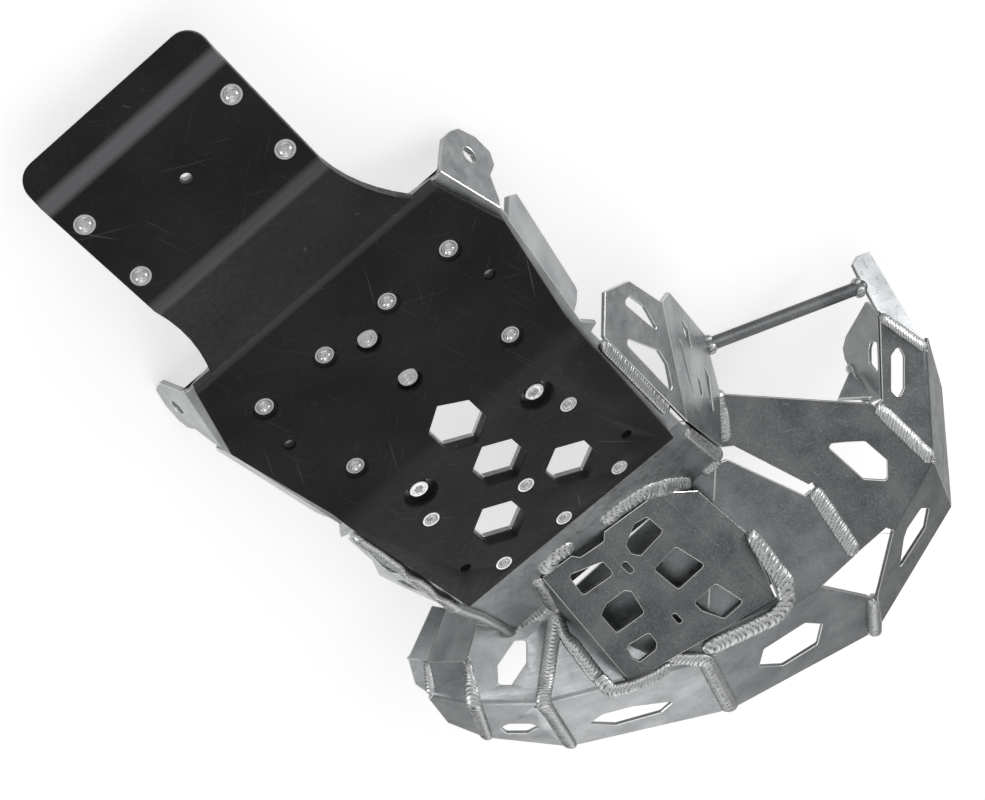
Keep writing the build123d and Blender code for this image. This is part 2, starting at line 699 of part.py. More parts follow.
left_lean = 30.0
with BuildPart() as left_bracket:
    low_rear, low_front = at(100, 100, 4), at(216, 100.5, 22.5)
    left_face = facet(low_rear, low_front, low_rear + at(0, sin(radians(left_lean)), cos(radians(left_lean))),
                      at(0, -1, 0))
    outline = [(-4.7, 1.2), (-1.2, 8.5), (7.9, 17.1), (47.6, 26.3), (89.1, 51.5), (98.1, 37.9), (104.4, 23.4),
               (107.7, 8), (110, 1)]
    holes = [[(12, 5), (32.4, 15.5), (58, 24), (67, 24.5), (62, 12), (50, 5)],
             [(85, 32), (73, 13), (86, 15), (90.5, 6), (93.5, 20), (93, 29)]]
    add(flat_piece(left_face, outline, guard_t, holes))
    for other in (skid_plate, glide_plate):
        add(other.part, mode=Mode.SUBTRACT)
left_bracket.part.label = "left_bracket"

# brace bar from the bracket to the top tab
bar_r = 4.9
bar_low = at(242, -143, 98)
bar_high = at(291, -252, 97)
with BuildPart() as brace_bar:
    add(rod([bar_low, bar_high], bar_r))
    for other in (right_bracket, top_tab, right_upper_panel, right_inner_wing):
        add(other.part, mode=Mode.SUBTRACT)
brace_bar.part.label = "brace_bar"


def screw(plane, seat, length, r, head, rise, socket, countersunk):
    """socket screw: head on the glide side at seat, shank up through the sheet"""
    with BuildPart(plane.offset(seat), mode=Mode.PRIVATE) as s:
        if countersunk:
            Cone(head, r, rise, align=(Align.CENTER, Align.CENTER, Align.MIN))
        else:
            Cylinder(head, rise, align=(Align.CENTER, Align.CENTER, Align.MIN))
        Cylinder(r, length, align=(Align.CENTER, Align.CENTER, Align.MIN))
        with BuildSketch(plane.offset(seat)):
            RegularPolygon(socket, 6)
        extrude(amount=socket_depth, mode=Mode.SUBTRACT)
    return s.part


def nut(plane, flats, tall, r):
    """hexagon nut on the sheet's inner face"""
    with BuildPart() as s:
        with BuildSketch(plane.offset(plate_t + 0.05)):
            RegularPolygon(flats / 2, 6, major_radius=False)
            Circle(r + 0.05, mode=Mode.SUBTRACT)
        extrude(amount=tall)
    return s.part


screw_out = 1.5
with BuildPart() as main_screws:
    for p in screw_spots["main"]:
        seat = -glide_t + counterbore_depth
        add(screw(p, seat, -seat + plate_t + nut_h + screw_out, screw_r, head_r, head_h, socket_r, True))
main_screws.part.label = "main_screws"

with BuildPart() as front_screws:
    for p in screw_spots["front"]:
        add(screw(p, -glide_t, glide_t + plate_t + nut_h + screw_out, screw_r, head_r, head_h, socket_r, True))
front_screws.part.label = "front_screws"

with BuildPart() as tongue_screws:
    for p in screw_spots["tongue"]:
        add(screw(p, -glide_t, glide_t + plate_t + nut_h + screw_out, screw_r, head_r, head_h, socket_r, True))
tongue_screws.part.label = "tongue_screws"

with BuildPart() as main_nuts:
    for p in screw_spots["main"]:
        add(nut(p, nut_flats, nut_h, screw_r))
main_nuts.part.label = "main_nuts"

with BuildPart() as front_nuts:
    for p in screw_spots["front"]:
        add(nut(p, nut_flats, nut_h, screw_r))
front_nuts.part.label = "front_nuts"

with BuildPart() as tongue_nuts:
    for p in screw_spots["tongue"]:
        add(nut(p, nut_flats, nut_h, screw_r))
tongue_nuts.part.label = "tongue_nuts"

with BuildPart() as centre_bolts:
    for p in centre_bolt_spots:
        add(screw(p, -bolt_head_h, bolt_head_h + plate_t + bolt_nut_h + 2, bolt_r, bolt_head_r, bolt_head_h,
                  socket_r * 1.4, False))
centre_bolts.part.label = "centre_bolts"

with BuildPart() as side_bolts:
    for p in side_bolt_spots:
        add(screw(p, -bolt_head_h, bolt_head_h + plate_t + bolt_nut_h + 2, bolt_r, bolt_head_r, bolt_head_h,
                  socket_r * 1.4, False))
side_bolts.part.label = "side_bolts"

with BuildPart() as centre_bolt_nuts:
    for p in centre_bolt_spots:
        add(nut(p, bolt_nut_flats, bolt_nut_h, bolt_r))
centre_bolt_nuts.part.label = "centre_bolt_nuts"

with BuildPart() as side_bolt_nuts:
    for p in side_bolt_spots:
        add(nut(p, bolt_nut_flats, bolt_nut_h, bolt_r))
side_bolt_nuts.part.label = "side_bolt_nuts"

# weld beads
with BuildPart() as left_end_weld:
    add(weld(seam_left_end, [left_side_panel, left_end_panel, left_inner_wing], 3.8))
left_end_weld.part.label = "left_end_weld"

with BuildPart() as left_seam_weld:
    add(weld(seam_left, [left_side_panel, left_front_panel]))
left_seam_weld.part.label = "left_seam_weld"

with BuildPart() as centre_seam_weld:
    add(weld(seam_centre, [left_front_panel, centre_panel, right_front_panel, nose_plate, skid_plate]))
centre_seam_weld.part.label = "centre_seam_weld"

with BuildPart() as front_seam_weld:
    add(weld(seam_front, [centre_panel, right_front_panel, nose_plate], 6.0))
front_seam_weld.part.label = "front_seam_weld"

with BuildPart() as right_seam_weld:
    add(weld(seam_right, [right_front_panel, right_side_panel]))
right_seam_weld.part.label = "right_seam_weld"

with BuildPart() as relief_seam_weld:
    # two runs, one on each wall's edge, fused along their length
    start, end, step = at(485, -114.3, 35.3), at(539, -95.4, 53.2), at(-4.9, -1, -6.2)
    far = start + (end - start) * 0.8
    add(weld([end, start, start + step, far + step], [right_front_panel, right_side_panel, right_seam_weld], 4.6))
relief_seam_weld.part.label = "relief_seam_weld"

with BuildPart() as upper_seam_weld:
    add(weld(seam_upper, [right_side_panel, right_upper_panel, right_inner_wing, right_gusset]))
upper_seam_weld.part.label = "upper_seam_weld"

with BuildPart() as tab_seam_weld:
    add(weld(seam_tab, [right_upper_panel, top_tab, right_inner_wing, brace_bar], 3.8))
tab_seam_weld.part.label = "tab_seam_weld"


# nose beads: the rear pair stop short of the dark opening, the front ones beside the seam
strip_room = over_strip(0)
bead_in = 3.0
with BuildPart() as nose_rear_left_weld:
    add(weld([on_strip(256.5, 44, bead_in), on_strip(254, 29, bead_in), on_strip(259, 16, bead_in)],
             [nose_plate, right_front_panel], wide_bead_r, strip_room))
nose_rear_left_weld.part.label = "nose_rear_left_weld"

with BuildPart() as nose_rear_right_weld:
    add(weld([on_strip(264, -9, bead_in), on_strip(266, -27, bead_in), on_strip(270, -45, bead_in),
              on_strip(276, -57, bead_in), on_strip(300, -70, bead_in)],
             [nose_plate, right_front_panel], wide_bead_r, strip_room))
nose_rear_right_weld.part.label = "nose_rear_right_weld"

with BuildPart() as nose_left_weld:
    add(weld([on_strip(262, 52), on_strip(290, 57), centre_back, at(329.6, 69.4, 55.4), at(352.8, 70.1, 30.3),
              at(366.3, 69, 16.7), at(375.4, 55.1, 15.8), at(383.7, 38.7, 17.3), at(388.3, 25.7, 20.6)],
             [skid_plate, nose_plate, centre_panel, left_front_panel, centre_seam_weld, front_seam_weld,
              right_front_panel, nose_rear_left_weld], bead_r, strip_room))
nose_left_weld.part.label = "nose_left_weld"

with BuildPart() as nose_right_weld:
    add(weld([at(354.1, -80.5, 42.6), at(376.6, -78, 33),
              at(399.3, -75.5, 23.3), at(410.6, -68.2, 18.2), at(412.9, -53.6, 16.4), at(407.5, -33.2, 17.6),
              at(401.4, -13.4, 19.1), at(396.5, 2.3, 20.3)],
             [skid_plate, nose_plate, centre_panel, right_front_panel, front_seam_weld, nose_rear_right_weld,
              nose_left_weld], bead_r, strip_room))
nose_right_weld.part.label = "nose_right_weld"

with BuildPart() as strip_right_weld:
    add(weld([on_strip(304, -84), on_strip(304, -99)],
             [skid_plate, right_front_panel, right_bracket, nose_right_weld, nose_plate], 4.4))
strip_right_weld.part.label = "strip_right_weld"

# bracket beads along the plate's edges
with BuildPart() as right_bracket_weld:
    add(weld([at(104, -99.5, 4.5), at(197, -99.5, 20.6)], [skid_plate, right_bracket, glide_plate], 5))
right_bracket_weld.part.label = "right_bracket_weld"

with BuildPart() as right_corner_weld:
    add(weld([on_strip(229, -99), on_strip(299, -100)],
             [skid_plate, right_bracket, glide_plate, strip_right_weld, right_front_panel, right_side_panel]))
right_corner_weld.part.label = "right_corner_weld"

with BuildPart() as left_bracket_weld:
    add(weld([at(92, 99, 2.4), at(199.5, 99, 21), on_strip(214, 99), on_strip(246.5, 97), on_strip(286, 98),
              on_strip(310, 99)],
             [skid_plate, left_bracket, glide_plate, left_front_panel, left_side_panel]))
left_bracket_weld.part.label = "left_bracket_weld"

with BuildPart() as strip_left_weld:
    add(weld([on_strip(311, 95), on_strip(320, 86), on_strip(319, 71)],
             [skid_plate, left_bracket_weld, glide_plate, left_front_panel, nose_left_weld, nose_plate,
              centre_panel, left_side_panel, centre_seam_weld]))
strip_left_weld.part.label = "strip_left_weld"

with BuildPart() as side_back_weld:
    add(weld([at(273, -129, 89.6), at(288.4, -118.9, 82.4), at(303, -108.2, 75.3)],
             [right_bracket, right_side_panel, skid_plate, right_corner_weld, strip_right_weld,
              right_front_panel]))
side_back_weld.part.label = "side_back_weld"

with BuildPart() as wing_weld:
    add(weld([at(336.3, -210.6, 91.2), at(349.7, -203.4, 63.2)],
             [right_inner_wing, right_gusset, right_side_panel, right_upper_panel, upper_seam_weld], 3.6))
wing_weld.part.label = "wing_weld"

with BuildPart() as bar_welds:
    way = (bar_high - bar_low).normalized()
    for p in (bar_low + way * 4, bar_high - way * 4):
        add(rod([p - way * 2, p + way * 2], bar_r + 2.2))
    for other in (brace_bar, right_bracket, top_tab, right_upper_panel, right_inner_wing, tab_seam_weld):
        add(other.part, mode=Mode.SUBTRACT)
bar_welds.part.label = "bar_welds"

# saved files
pieces = [glide_plate, skid_plate, nose_plate, left_side_panel, left_front_panel, centre_panel,
          right_front_panel, right_side_panel, right_upper_panel, top_tab, right_inner_wing,
          right_gusset, left_end_panel, left_inner_wing, right_bracket, left_bracket, brace_bar,
          main_screws, front_screws, tongue_screws, main_nuts, front_nuts, tongue_nuts,
          centre_bolts, side_bolts, centre_bolt_nuts, side_bolt_nuts,
          left_end_weld, left_seam_weld, centre_seam_weld, front_seam_weld, right_seam_weld,
          relief_seam_weld, upper_seam_weld, tab_seam_weld, nose_rear_left_weld, nose_rear_right_weld,
          nose_left_weld, nose_right_weld, strip_left_weld, strip_right_weld, right_bracket_weld,
          right_corner_weld, left_bracket_weld, side_back_weld, wing_weld, bar_welds]
for piece in pieces:
    export_step(piece.part, "parts/" + piece.part.label + ".step")
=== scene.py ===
import bpy, bmesh, math
from mathutils import Matrix, Vector
from mathutils.bvhtree import BVHTree


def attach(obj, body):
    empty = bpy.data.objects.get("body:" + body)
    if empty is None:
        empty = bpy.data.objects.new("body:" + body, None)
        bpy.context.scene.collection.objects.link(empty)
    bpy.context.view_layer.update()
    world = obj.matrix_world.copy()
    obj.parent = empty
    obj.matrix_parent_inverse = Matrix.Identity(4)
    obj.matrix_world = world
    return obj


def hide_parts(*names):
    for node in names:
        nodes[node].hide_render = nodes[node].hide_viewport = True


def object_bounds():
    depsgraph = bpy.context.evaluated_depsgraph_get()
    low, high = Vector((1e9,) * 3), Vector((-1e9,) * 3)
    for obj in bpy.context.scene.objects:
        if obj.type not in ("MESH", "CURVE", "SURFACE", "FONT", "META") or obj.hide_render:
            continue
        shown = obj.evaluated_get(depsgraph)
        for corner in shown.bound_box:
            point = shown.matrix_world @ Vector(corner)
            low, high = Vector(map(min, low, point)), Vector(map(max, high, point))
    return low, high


# %% [markdown]
# # A skid plate for a motorcycle, dressed for its picture
# The plate and its welded guard arrive as a measured CAD model, in metres. This lesson
# adds what the drawing leaves out: the look of bent aluminium sheet, of a scuffed black
# plastic glide plate, of bright screws, and of weld beads laid like a row of coins.
# Blender counts in metres. Lengths on the object are given here in millimetres, as on
# the drawing, and multiplied by mm. Camera and lamps stand at distances in metres.

# %% Load the measured model
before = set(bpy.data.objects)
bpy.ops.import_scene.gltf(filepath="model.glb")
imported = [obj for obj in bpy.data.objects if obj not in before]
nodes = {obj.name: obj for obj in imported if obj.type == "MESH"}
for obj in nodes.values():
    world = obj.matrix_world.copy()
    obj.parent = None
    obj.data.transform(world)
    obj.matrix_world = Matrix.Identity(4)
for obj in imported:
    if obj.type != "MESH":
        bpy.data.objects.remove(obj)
cad_low, cad_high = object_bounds()
mm = 0.001
print("pieces in the frame:", len(nodes))
print("size in mm:", [round(v / mm) for v in cad_high - cad_low])

# %% [markdown]
# ## The camera
# The plate lies upside down for its portrait, so the camera looks up at it from below
# the rear. A camera is placed by three things: where it stands, which way is right and
# which way is down in the picture. Two of those directions fix the third. The numbers
# were fitted to the rows of screws and the edges of the plate in the picture.

# %% Camera
camera_place = Vector((-0.6960, -0.1835, -0.9870))
picture_right = Vector((0.566, -0.759, -0.323)).normalized()
picture_down = Vector((0.552, 0.639, -0.536))
picture_down = (picture_down - picture_right * picture_down.dot(picture_right)).normalized()
looking = picture_right.cross(picture_down)
camera = bpy.data.objects.new("camera", bpy.data.cameras.new("camera"))
bpy.context.collection.objects.link(camera)
turn = Matrix((picture_right, -picture_down, -looking)).transposed()
camera.matrix_world = Matrix.Translation(camera_place) @ turn.to_4x4()
camera.data.sensor_width = 36.0
camera.data.lens = 74.5
bpy.context.scene.camera = camera
bpy.context.scene.view_settings.view_transform = "Standard"
plate_middle = Vector((0.1, 0, 0))
print("camera distance in mm:", round((plate_middle - camera_place).length / mm))

# %% [markdown]
# ## Small helpers
# Colours are written as the hex values that a paint chart gives. A shader counts light
# in linear numbers, so one function turns the one into the other. A second one adds a
# node to a tree with its settings, its numbers and its links, which keeps long recipes
# readable. An input of the new node may be a number, one output of another node, or a
# node itself, which stands for its first output.

# %% Helpers


def colour(text):
    """a hex colour as linear red, green, blue and full alpha"""
    parts = [int(text[i:i + 2], 16) / 255 for i in (1, 3, 5)]
    linear = [c / 12.92 if c <= 0.04045 else ((c + 0.055) / 1.055) ** 2.4 for c in parts]
    return (*linear, 1.0)


def add_node(tree, kind, inputs=None, **settings):
    made = tree.nodes.new(kind)
    for key, value in settings.items():
        setattr(made, key, value)
    for key, value in (inputs or {}).items():
        if isinstance(value, bpy.types.Node):
            value = value.outputs[0]
        if isinstance(value, bpy.types.NodeSocket):
            tree.links.new(value, made.inputs[key])
        else:
            made.inputs[key].default_value = value
    return made


print("mid grey in linear light:", round(colour("#808080")[0], 3))

# %% [markdown]
# ## Where a finish starts and ends
# Every finish here starts with the object's own coordinates, which stay with the metal
# when the camera moves, and ends with a Principled shader and its output. In between
# come patterns with a real size: the coordinates are in metres, so a noise with scale
# 1000 has features about one millimetre apart. Colours are laid over each other in
# washes, and small bumps are stacked, each on the normal of the one before.

# %% Start and end of a finish


def start_finish(name):
    material = bpy.data.materials.new(name)
    material.use_nodes = True
    tree = material.node_tree
    tree.nodes.clear()
    return material, tree, add_node(tree, "ShaderNodeTexCoord").outputs["Object"]


def end_finish(tree, inputs):
    shader = add_node(tree, "ShaderNodeBsdfPrincipled", inputs)
    add_node(tree, "ShaderNodeOutputMaterial", {"Surface": shader})


def mottle(tree, place, size_mm, longer=(1, 1, 1), turn=(0, 0, 0), detail=3.0):
    """uneven spots about size_mm across, made longer along axes that are turned"""
    laid = add_node(tree, "ShaderNodeMapping", {"Vector": place, "Rotation": turn, "Scale": longer},
                    vector_type="TEXTURE")
    return add_node(tree, "ShaderNodeTexNoise",
                    {"Vector": laid, "Scale": 1 / (size_mm * mm), "Detail": detail})


def washes(tree, first, layers):
    """colours laid over the first; a layer is its cover from 0 to 1 and its colour"""
    mixed = colour(first)
    for cover, tint in layers:
        # a Mix node has its colours at inputs 6 and 7 and at output 2
        mixed = add_node(tree, "ShaderNodeMix", {0: cover, 6: mixed, 7: colour(tint)},
                         data_type="RGBA").outputs[2]
    return mixed


def relief(tree, layers, under=None):
    """stacked bumps; a layer is its height from 0 to 1 and its depth in millimetres"""
    for height, depth_mm in layers:
        inputs = {"Height": height, "Distance": depth_mm * mm, "Strength": 1.0}
        if under is not None:
            inputs["Normal"] = under
        under = add_node(tree, "ShaderNodeBump", inputs)
    return under


print("noise scale for spots of 1 mm:", round(1 / mm))

# %% [markdown]
# ## Scratches
# A real sheet is never even. Long fine scratches come from handling and from the
# brush that cleaned it before welding. A noise that is stretched sixty times in one
# direction and cut off near its peak leaves just such thin broken lines. Several sets
# at different angles cross each other as real ones do.

# %% Scratches
scratch_shape = (1, 60, 3)
scratch_fade = 0.05


def scratches(tree, place, width_mm, turns, rare):
    """one set of lines for each turn; the nearer rare is to 1, the fewer lines there are"""
    lines = 0.0
    for turn in turns:
        streak = mottle(tree, place, width_mm, scratch_shape, turn, detail=1.0)
        line = add_node(tree, "ShaderNodeMapRange",
                        {"Value": streak, "From Min": rare, "From Max": rare + scratch_fade})
        lines = add_node(tree, "ShaderNodeMath", {0: lines, 1: line}, operation="MAXIMUM")
    return lines


print("a scratch is stretched along its way by:", scratch_shape[1])

# %% [markdown]
# ## Aluminium sheet
# The plate is bent from four-millimetre aluminium sheet and the guard from three, both in their mill
# finish. Sheet is rolled, so it has a faint grain, and here it was brushed and heated along the welds, so
# it is dull and cloudy in places and brighter where the brush went. To the eye that is a soft grey
# mirror: it takes its lightness from what it faces. Real grain is finer than a tenth of a millimetre. It
# is drawn nearly one apart, so that it shows in a picture of this size. The same recipe is used at three
# depths of tone, which paint light and shade into the sheet: each panel gets the lighter or darker copy
# that matches the light or shade it shows from the way it faces.

# %% Aluminium sheet
brush_turns = [(0.3, 0.2, 0.4), (0.1, 0.9, 1.9), (1.2, 0.3, 1.1)]


def sheet_finish(name, light, dark, rough, grain_turn=(0, 0, 0.5)):
    material, tree, place = start_finish(name)
    cloud = mottle(tree, place, 28, detail=4.0)
    patch = mottle(tree, place, 6, detail=5.0)
    grain = mottle(tree, place, 0.9, (1, 30, 1), grain_turn, 2.0)
    fine = mottle(tree, place, 0.8, (1, 2.5, 1), grain_turn, 4.0)
    # the tone follows the wide clouds and, less, the small patches
    clouded = add_node(tree, "ShaderNodeMapRange",
                       {"Value": cloud, "From Min": 0.35, "From Max": 0.65, "To Max": 0.65})
    tone = add_node(tree, "ShaderNodeMath", {0: patch, 1: 0.35, 2: clouded}, operation="MULTIPLY_ADD")
    # two brighter washes: where the brush cut the surface, and in its scratches
    brushed = add_node(tree, "ShaderNodeMapRange",
                       {"Value": fine, "From Min": 0.45, "From Max": 0.80, "To Max": 0.26})
    scuff = scratches(tree, place, 0.8, brush_turns, 0.72)
    scuffed = add_node(tree, "ShaderNodeMath", {0: scuff, 1: 0.3}, operation="MULTIPLY")
    uneven = add_node(tree, "ShaderNodeMath", {0: patch, 1: grain}, operation="ADD")
    roughness = add_node(tree, "ShaderNodeMapRange",
                         {"Value": uneven, "From Min": 0.7, "From Max": 1.3,
                          "To Min": rough - 0.09, "To Max": rough + 0.11})
    end_finish(tree, {
        "Metallic": 1.0,
        "Base Color": washes(tree, dark, [(tone, light), (brushed, "#d6d8d9"), (scuffed, "#dfe1e2")]),
        "Roughness": roughness,
        "Normal": relief(tree, [(grain, 0.012), (cloud, 0.25), (fine, 0.015)])})
    return material


# three copies of one finish, lighter and darker, paint the light and shade on the panels
sheet_painted_light = sheet_finish("mill finish aluminium sheet, brushed bright", "#cbcdce", "#96999b", 0.34)
sheet_painted_half_shade = sheet_finish("mill finish aluminium sheet", "#a5a8a9", "#74777a", 0.38, (0.2, 0.4, 1.2))
sheet_painted_shade = sheet_finish("mill finish aluminium sheet, dulled by heat", "#8c8e8f", "#606365", 0.42,
                          (0.4, 0.1, 2.1))
print("sheet finishes:", sheet_painted_light.name, "|", sheet_painted_half_shade.name, "|", sheet_painted_shade.name)

# %% [markdown]
# ## Weld metal
# A bead is laid in small pools, one on the edge of the last, and each freezes with a
# raised rim. Fresh weld metal is whiter and smoother than the sheet, and dark oxide
# stays in the valleys. The bead's mesh carries a value named ripple, which tells the
# shader where on a pool it is.

# %% Weld metal


def weld_finish():
    material, tree, place = start_finish("aluminium weld metal, as laid")
    ripple = add_node(tree, "ShaderNodeAttribute", attribute_name="ripple").outputs["Fac"]
    grit = mottle(tree, place, 0.7)
    valley = add_node(tree, "ShaderNodeMapRange", {"Value": ripple, "From Min": 0.55})
    oxide = add_node(tree, "ShaderNodeMath", {0: grit, 1: 0.45, 2: valley}, operation="MULTIPLY_ADD")
    roughness = add_node(tree, "ShaderNodeMapRange",
                         {"Value": grit, "From Min": 0.3, "From Max": 0.7,
                          "To Min": 0.36, "To Max": 0.54})
    end_finish(tree, {"Metallic": 1.0, "Base Color": washes(tree, "#eceded", [(oxide, "#6f7274")]),
                      "Roughness": roughness, "Normal": relief(tree, [(grit, 0.05)])})
    return material


weld_metal = weld_finish()
print("weld finish:", weld_metal.name)

# %% [markdown]
# ## Black plastic with real bends
# The glide plate is eight millimetres of tough black polyethylene. It looks matt and a little dusty, with
# pale scratches from stones and a soft sheen. The CAD model folds it along sharp lines, but the real one
# was bent warm over a bar, so each bend is a broad curve, and a pale band along each bend is a painted
# highlight, the sheen that the curve catches. A bump whose height is a parabola on each side of the fold
# turns the normal as evenly as the real curve does.

# %% Bend bands
# how quickly the pale painted highlight of a bend reaches full strength from its edge
sheen_rise = 1.7


def bend_relief_and_sheen(tree, place, bends):
    """a bend is its place along X and half width in mm, its turn in degrees and the strength of its
    painted highlight; gives the relief in metres and the cover of the pale painted highlight"""
    along = add_node(tree, "ShaderNodeSeparateXYZ", {0: place})
    lift = pale = 0.0
    for x, half_width, angle, sheen_strength in bends:
        shift = add_node(tree, "ShaderNodeMath", {0: along, 1: x * mm}, operation="SUBTRACT")
        away = add_node(tree, "ShaderNodeMath", {0: shift}, operation="ABSOLUTE")
        short = add_node(tree, "ShaderNodeMath", {0: half_width * mm, 1: away}, operation="SUBTRACT")
        inside = add_node(tree, "ShaderNodeMath", {0: short, 1: 0.0}, operation="MAXIMUM")
        square = add_node(tree, "ShaderNodeMath", {0: inside, 1: 2.0}, operation="POWER")
        curve = math.radians(angle) / (4 * half_width * mm)
        arc = add_node(tree, "ShaderNodeMath", {0: square, 1: curve}, operation="MULTIPLY")
        lift = add_node(tree, "ShaderNodeMath", {0: arc, 1: lift}, operation="ADD")
        rise = sheen_rise / (half_width * mm)
        mark = add_node(tree, "ShaderNodeMath", {0: inside, 1: rise}, operation="MULTIPLY")
        mark = add_node(tree, "ShaderNodeMath", {0: mark, 1: 1.0}, operation="MINIMUM")
        pale = add_node(tree, "ShaderNodeMath", {0: mark, 1: sheen_strength, 2: pale}, operation="MULTIPLY_ADD")
    return lift, pale


drop_angle, tongue_angle, lip_angle, front_angle, strip_angle = 26.8, 4.1, 20.0, 9.8, 25.0
drop_len, tongue_len = 90.0, 86.0
crease_x, front_bend_x = -73.0, 78.0
foot_x = crease_x - drop_len * math.cos(math.radians(drop_angle))
lip_x = foot_x - tongue_len * math.cos(math.radians(tongue_angle))
# the last value of each bend is the strength of its painted highlight, the sheen on its curve
glide_bends = [(crease_x, 4, drop_angle, 0.12), (foot_x, 7, -(drop_angle + tongue_angle), 0.30),
               (lip_x + 1.5, 6.5, -lip_angle, 0.55), (front_bend_x, 12, -front_angle, 0.04)]
print("bends along X in mm:", [round(b[0], 1) for b in glide_bends])

# %% Black polyethylene
fine_turns = [(0, 0, 0.5), (0, 0.1, 1.3), (0.1, 0, 2.5)]
coarse_turns = [(0, 0, 0.95), (0.05, 0, 2.0)]


def plastic_finish():
    material, tree, place = start_finish("black polyethylene sheet, scuffed")
    cloud = mottle(tree, place, 60, detail=4.0)
    grain = mottle(tree, place, 1.2, detail=2.0)
    dust = mottle(tree, place, 3.5, detail=6.0)
    fine = scratches(tree, place, 0.9, fine_turns, 0.71)
    coarse = scratches(tree, place, 2.2, coarse_turns, 0.76)
    lift, pale = bend_relief_and_sheen(tree, place, glide_bends)
    worn = add_node(tree, "ShaderNodeMapRange", {"Value": cloud, "From Min": 0.35, "From Max": 0.7})
    dusty = add_node(tree, "ShaderNodeMapRange",
                     {"Value": dust, "From Min": 0.60, "From Max": 0.80, "To Max": 0.35})
    faint = add_node(tree, "ShaderNodeMath", {0: fine, 1: 0.16}, operation="MULTIPLY")
    plain = add_node(tree, "ShaderNodeMath", {0: coarse, 1: 0.28}, operation="MULTIPLY")
    roughness = add_node(tree, "ShaderNodeMapRange",
                         {"Value": dust, "From Min": 0.3, "From Max": 0.7,
                          "To Min": 0.36, "To Max": 0.52})
    bend = add_node(tree, "ShaderNodeBump", {"Height": lift, "Distance": 1.0, "Strength": 1.0})
    smooth = add_node(tree, "ShaderNodeMath", {0: 1.0, 1: fine}, operation="SUBTRACT")
    # the last wash, pale, is the painted highlight along the bends
    end_finish(tree, {
        "Specular IOR Level": 0.20,
        "Base Color": washes(tree, "#161617", [(worn, "#262628"), (dusty, "#3a3a3c"), (faint, "#6a6a6c"),
                                               (plain, "#77777a"), (pale, "#8a8a8d")]),
        "Roughness": roughness,
        "Normal": relief(tree, [(grain, 0.03), (smooth, 0.05)], bend)})
    return material


black_plastic = plastic_finish()
print("plastic finish:", black_plastic.name)

# %% [markdown]
# ## Zinc-plated steel
# The screws and nuts are small bright things. Zinc plate is a cool, slightly uneven
# mirror, and the eye reads it by its highlights, so it is smoother than the sheet.

# %% Zinc-plated steel


def zinc_finish():
    material, tree, place = start_finish("zinc-plated steel")
    spot = mottle(tree, place, 2.0)
    roughness = add_node(tree, "ShaderNodeMapRange",
                         {"Value": spot, "From Min": 0.3, "From Max": 0.7,
                          "To Min": 0.18, "To Max": 0.30})
    end_finish(tree, {"Metallic": 1.0, "Base Color": washes(tree, "#f2f2f0", [(spot, "#d4d6d7")]),
                      "Roughness": roughness, "Normal": relief(tree, [(spot, 0.008)])})
    return material


zinc = zinc_finish()
print("screw finish:", zinc.name)

# %% [markdown]
# ## Dressing the sheets
# The CAD pieces are already the right shape, so they keep their meshes. Each gets its finish and three
# modifiers: Weld joins the loose triangles, a Decimate makes one face of those in one plane, and a narrow
# Bevel breaks the sharp edges as a file does, by half a millimetre or so. On the sheets that narrow face
# has a finish of its own. It is bare filed aluminium, smoother than the mill finish, and its lighter
# colour is a painted highlight that draws a bright line along every cut edge.

# %% Dress the CAD pieces
# the bevel faces on the sheets get a lighter colour, a painted highlight along each cut edge
edge_painted_highlight, edge_tree, _ = start_finish("aluminium cut edge, filed bright")
end_finish(edge_tree, {"Metallic": 1.0, "Base Color": colour("#eceded"), "Roughness": 0.30})
join_gap = 0.005 * mm
flat_within, edge_beyond = math.radians(0.5), math.radians(35)
sheet_edge, plastic_edge, nut_edge = 0.5 * mm, 0.7 * mm, 0.25 * mm


def dress(name, finish, edge, edge_finish=None):
    piece = nodes[name]
    for slot in piece.material_slots:
        slot.material = finish
    join = piece.modifiers.new("join", "WELD")
    join.merge_threshold = join_gap
    flats = piece.modifiers.new("flats", "DECIMATE")
    flats.decimate_type = "DISSOLVE"
    flats.angle_limit = flat_within
    soften = piece.modifiers.new("edge", "BEVEL")
    soften.width = edge
    soften.segments = 2
    soften.limit_method = "ANGLE"
    soften.angle_limit = edge_beyond
    soften.use_clamp_overlap = False
    if edge_finish is not None:
        piece.data.materials.append(edge_finish)
        soften.material = len(piece.data.materials) - 1


# each piece gets the copy whose tone paints the light or shade it shows
sheets_by_painted_light = {
    sheet_painted_light: ["skid_plate", "left_front_panel", "centre_panel", "left_bracket", "right_bracket",
                   "top_tab", "right_inner_wing", "right_gusset", "left_inner_wing"],
    sheet_painted_half_shade: ["right_front_panel", "left_side_panel", "left_end_panel"],
    sheet_painted_shade: ["nose_plate", "brace_bar", "right_side_panel", "right_upper_panel"],
}
for finish, names in sheets_by_painted_light.items():
    for name in names:
        dress(name, finish, sheet_edge, edge_painted_highlight)
dress("glide_plate", black_plastic, plastic_edge)
for name in ("main_nuts", "front_nuts", "tongue_nuts", "centre_bolt_nuts", "side_bolt_nuts"):
    dress(name, zinc, nut_edge)
print("dressed pieces:", sum(1 for o in nodes.values() if o.modifiers))

# %% [markdown]
# ## The weld beads
# Each bead follows a line on the guard, so it is a path with a rule: Geometry Nodes
# sweep a round section along it and push the surface in and out in steps, one step for
# each pool of metal. The steps lag at the sides, which bends each ripple into a
# crescent. The section is then pressed lower and the ends are drawn in to a dome. A
# fixed seed keeps the small unevenness of the welder's hand the same at every run.

# %% A tree that lays a bead
path_rounding = 7 * mm
ripple_fall = 1.6
# the hand's sway: how fast it changes along the bead, how far it shifts the ripples,
# its middle value, and its share in the bead's height
sway_rate, sway_shift, sway_middle, sway_height = 90.0, 1.6, 0.6, 0.12


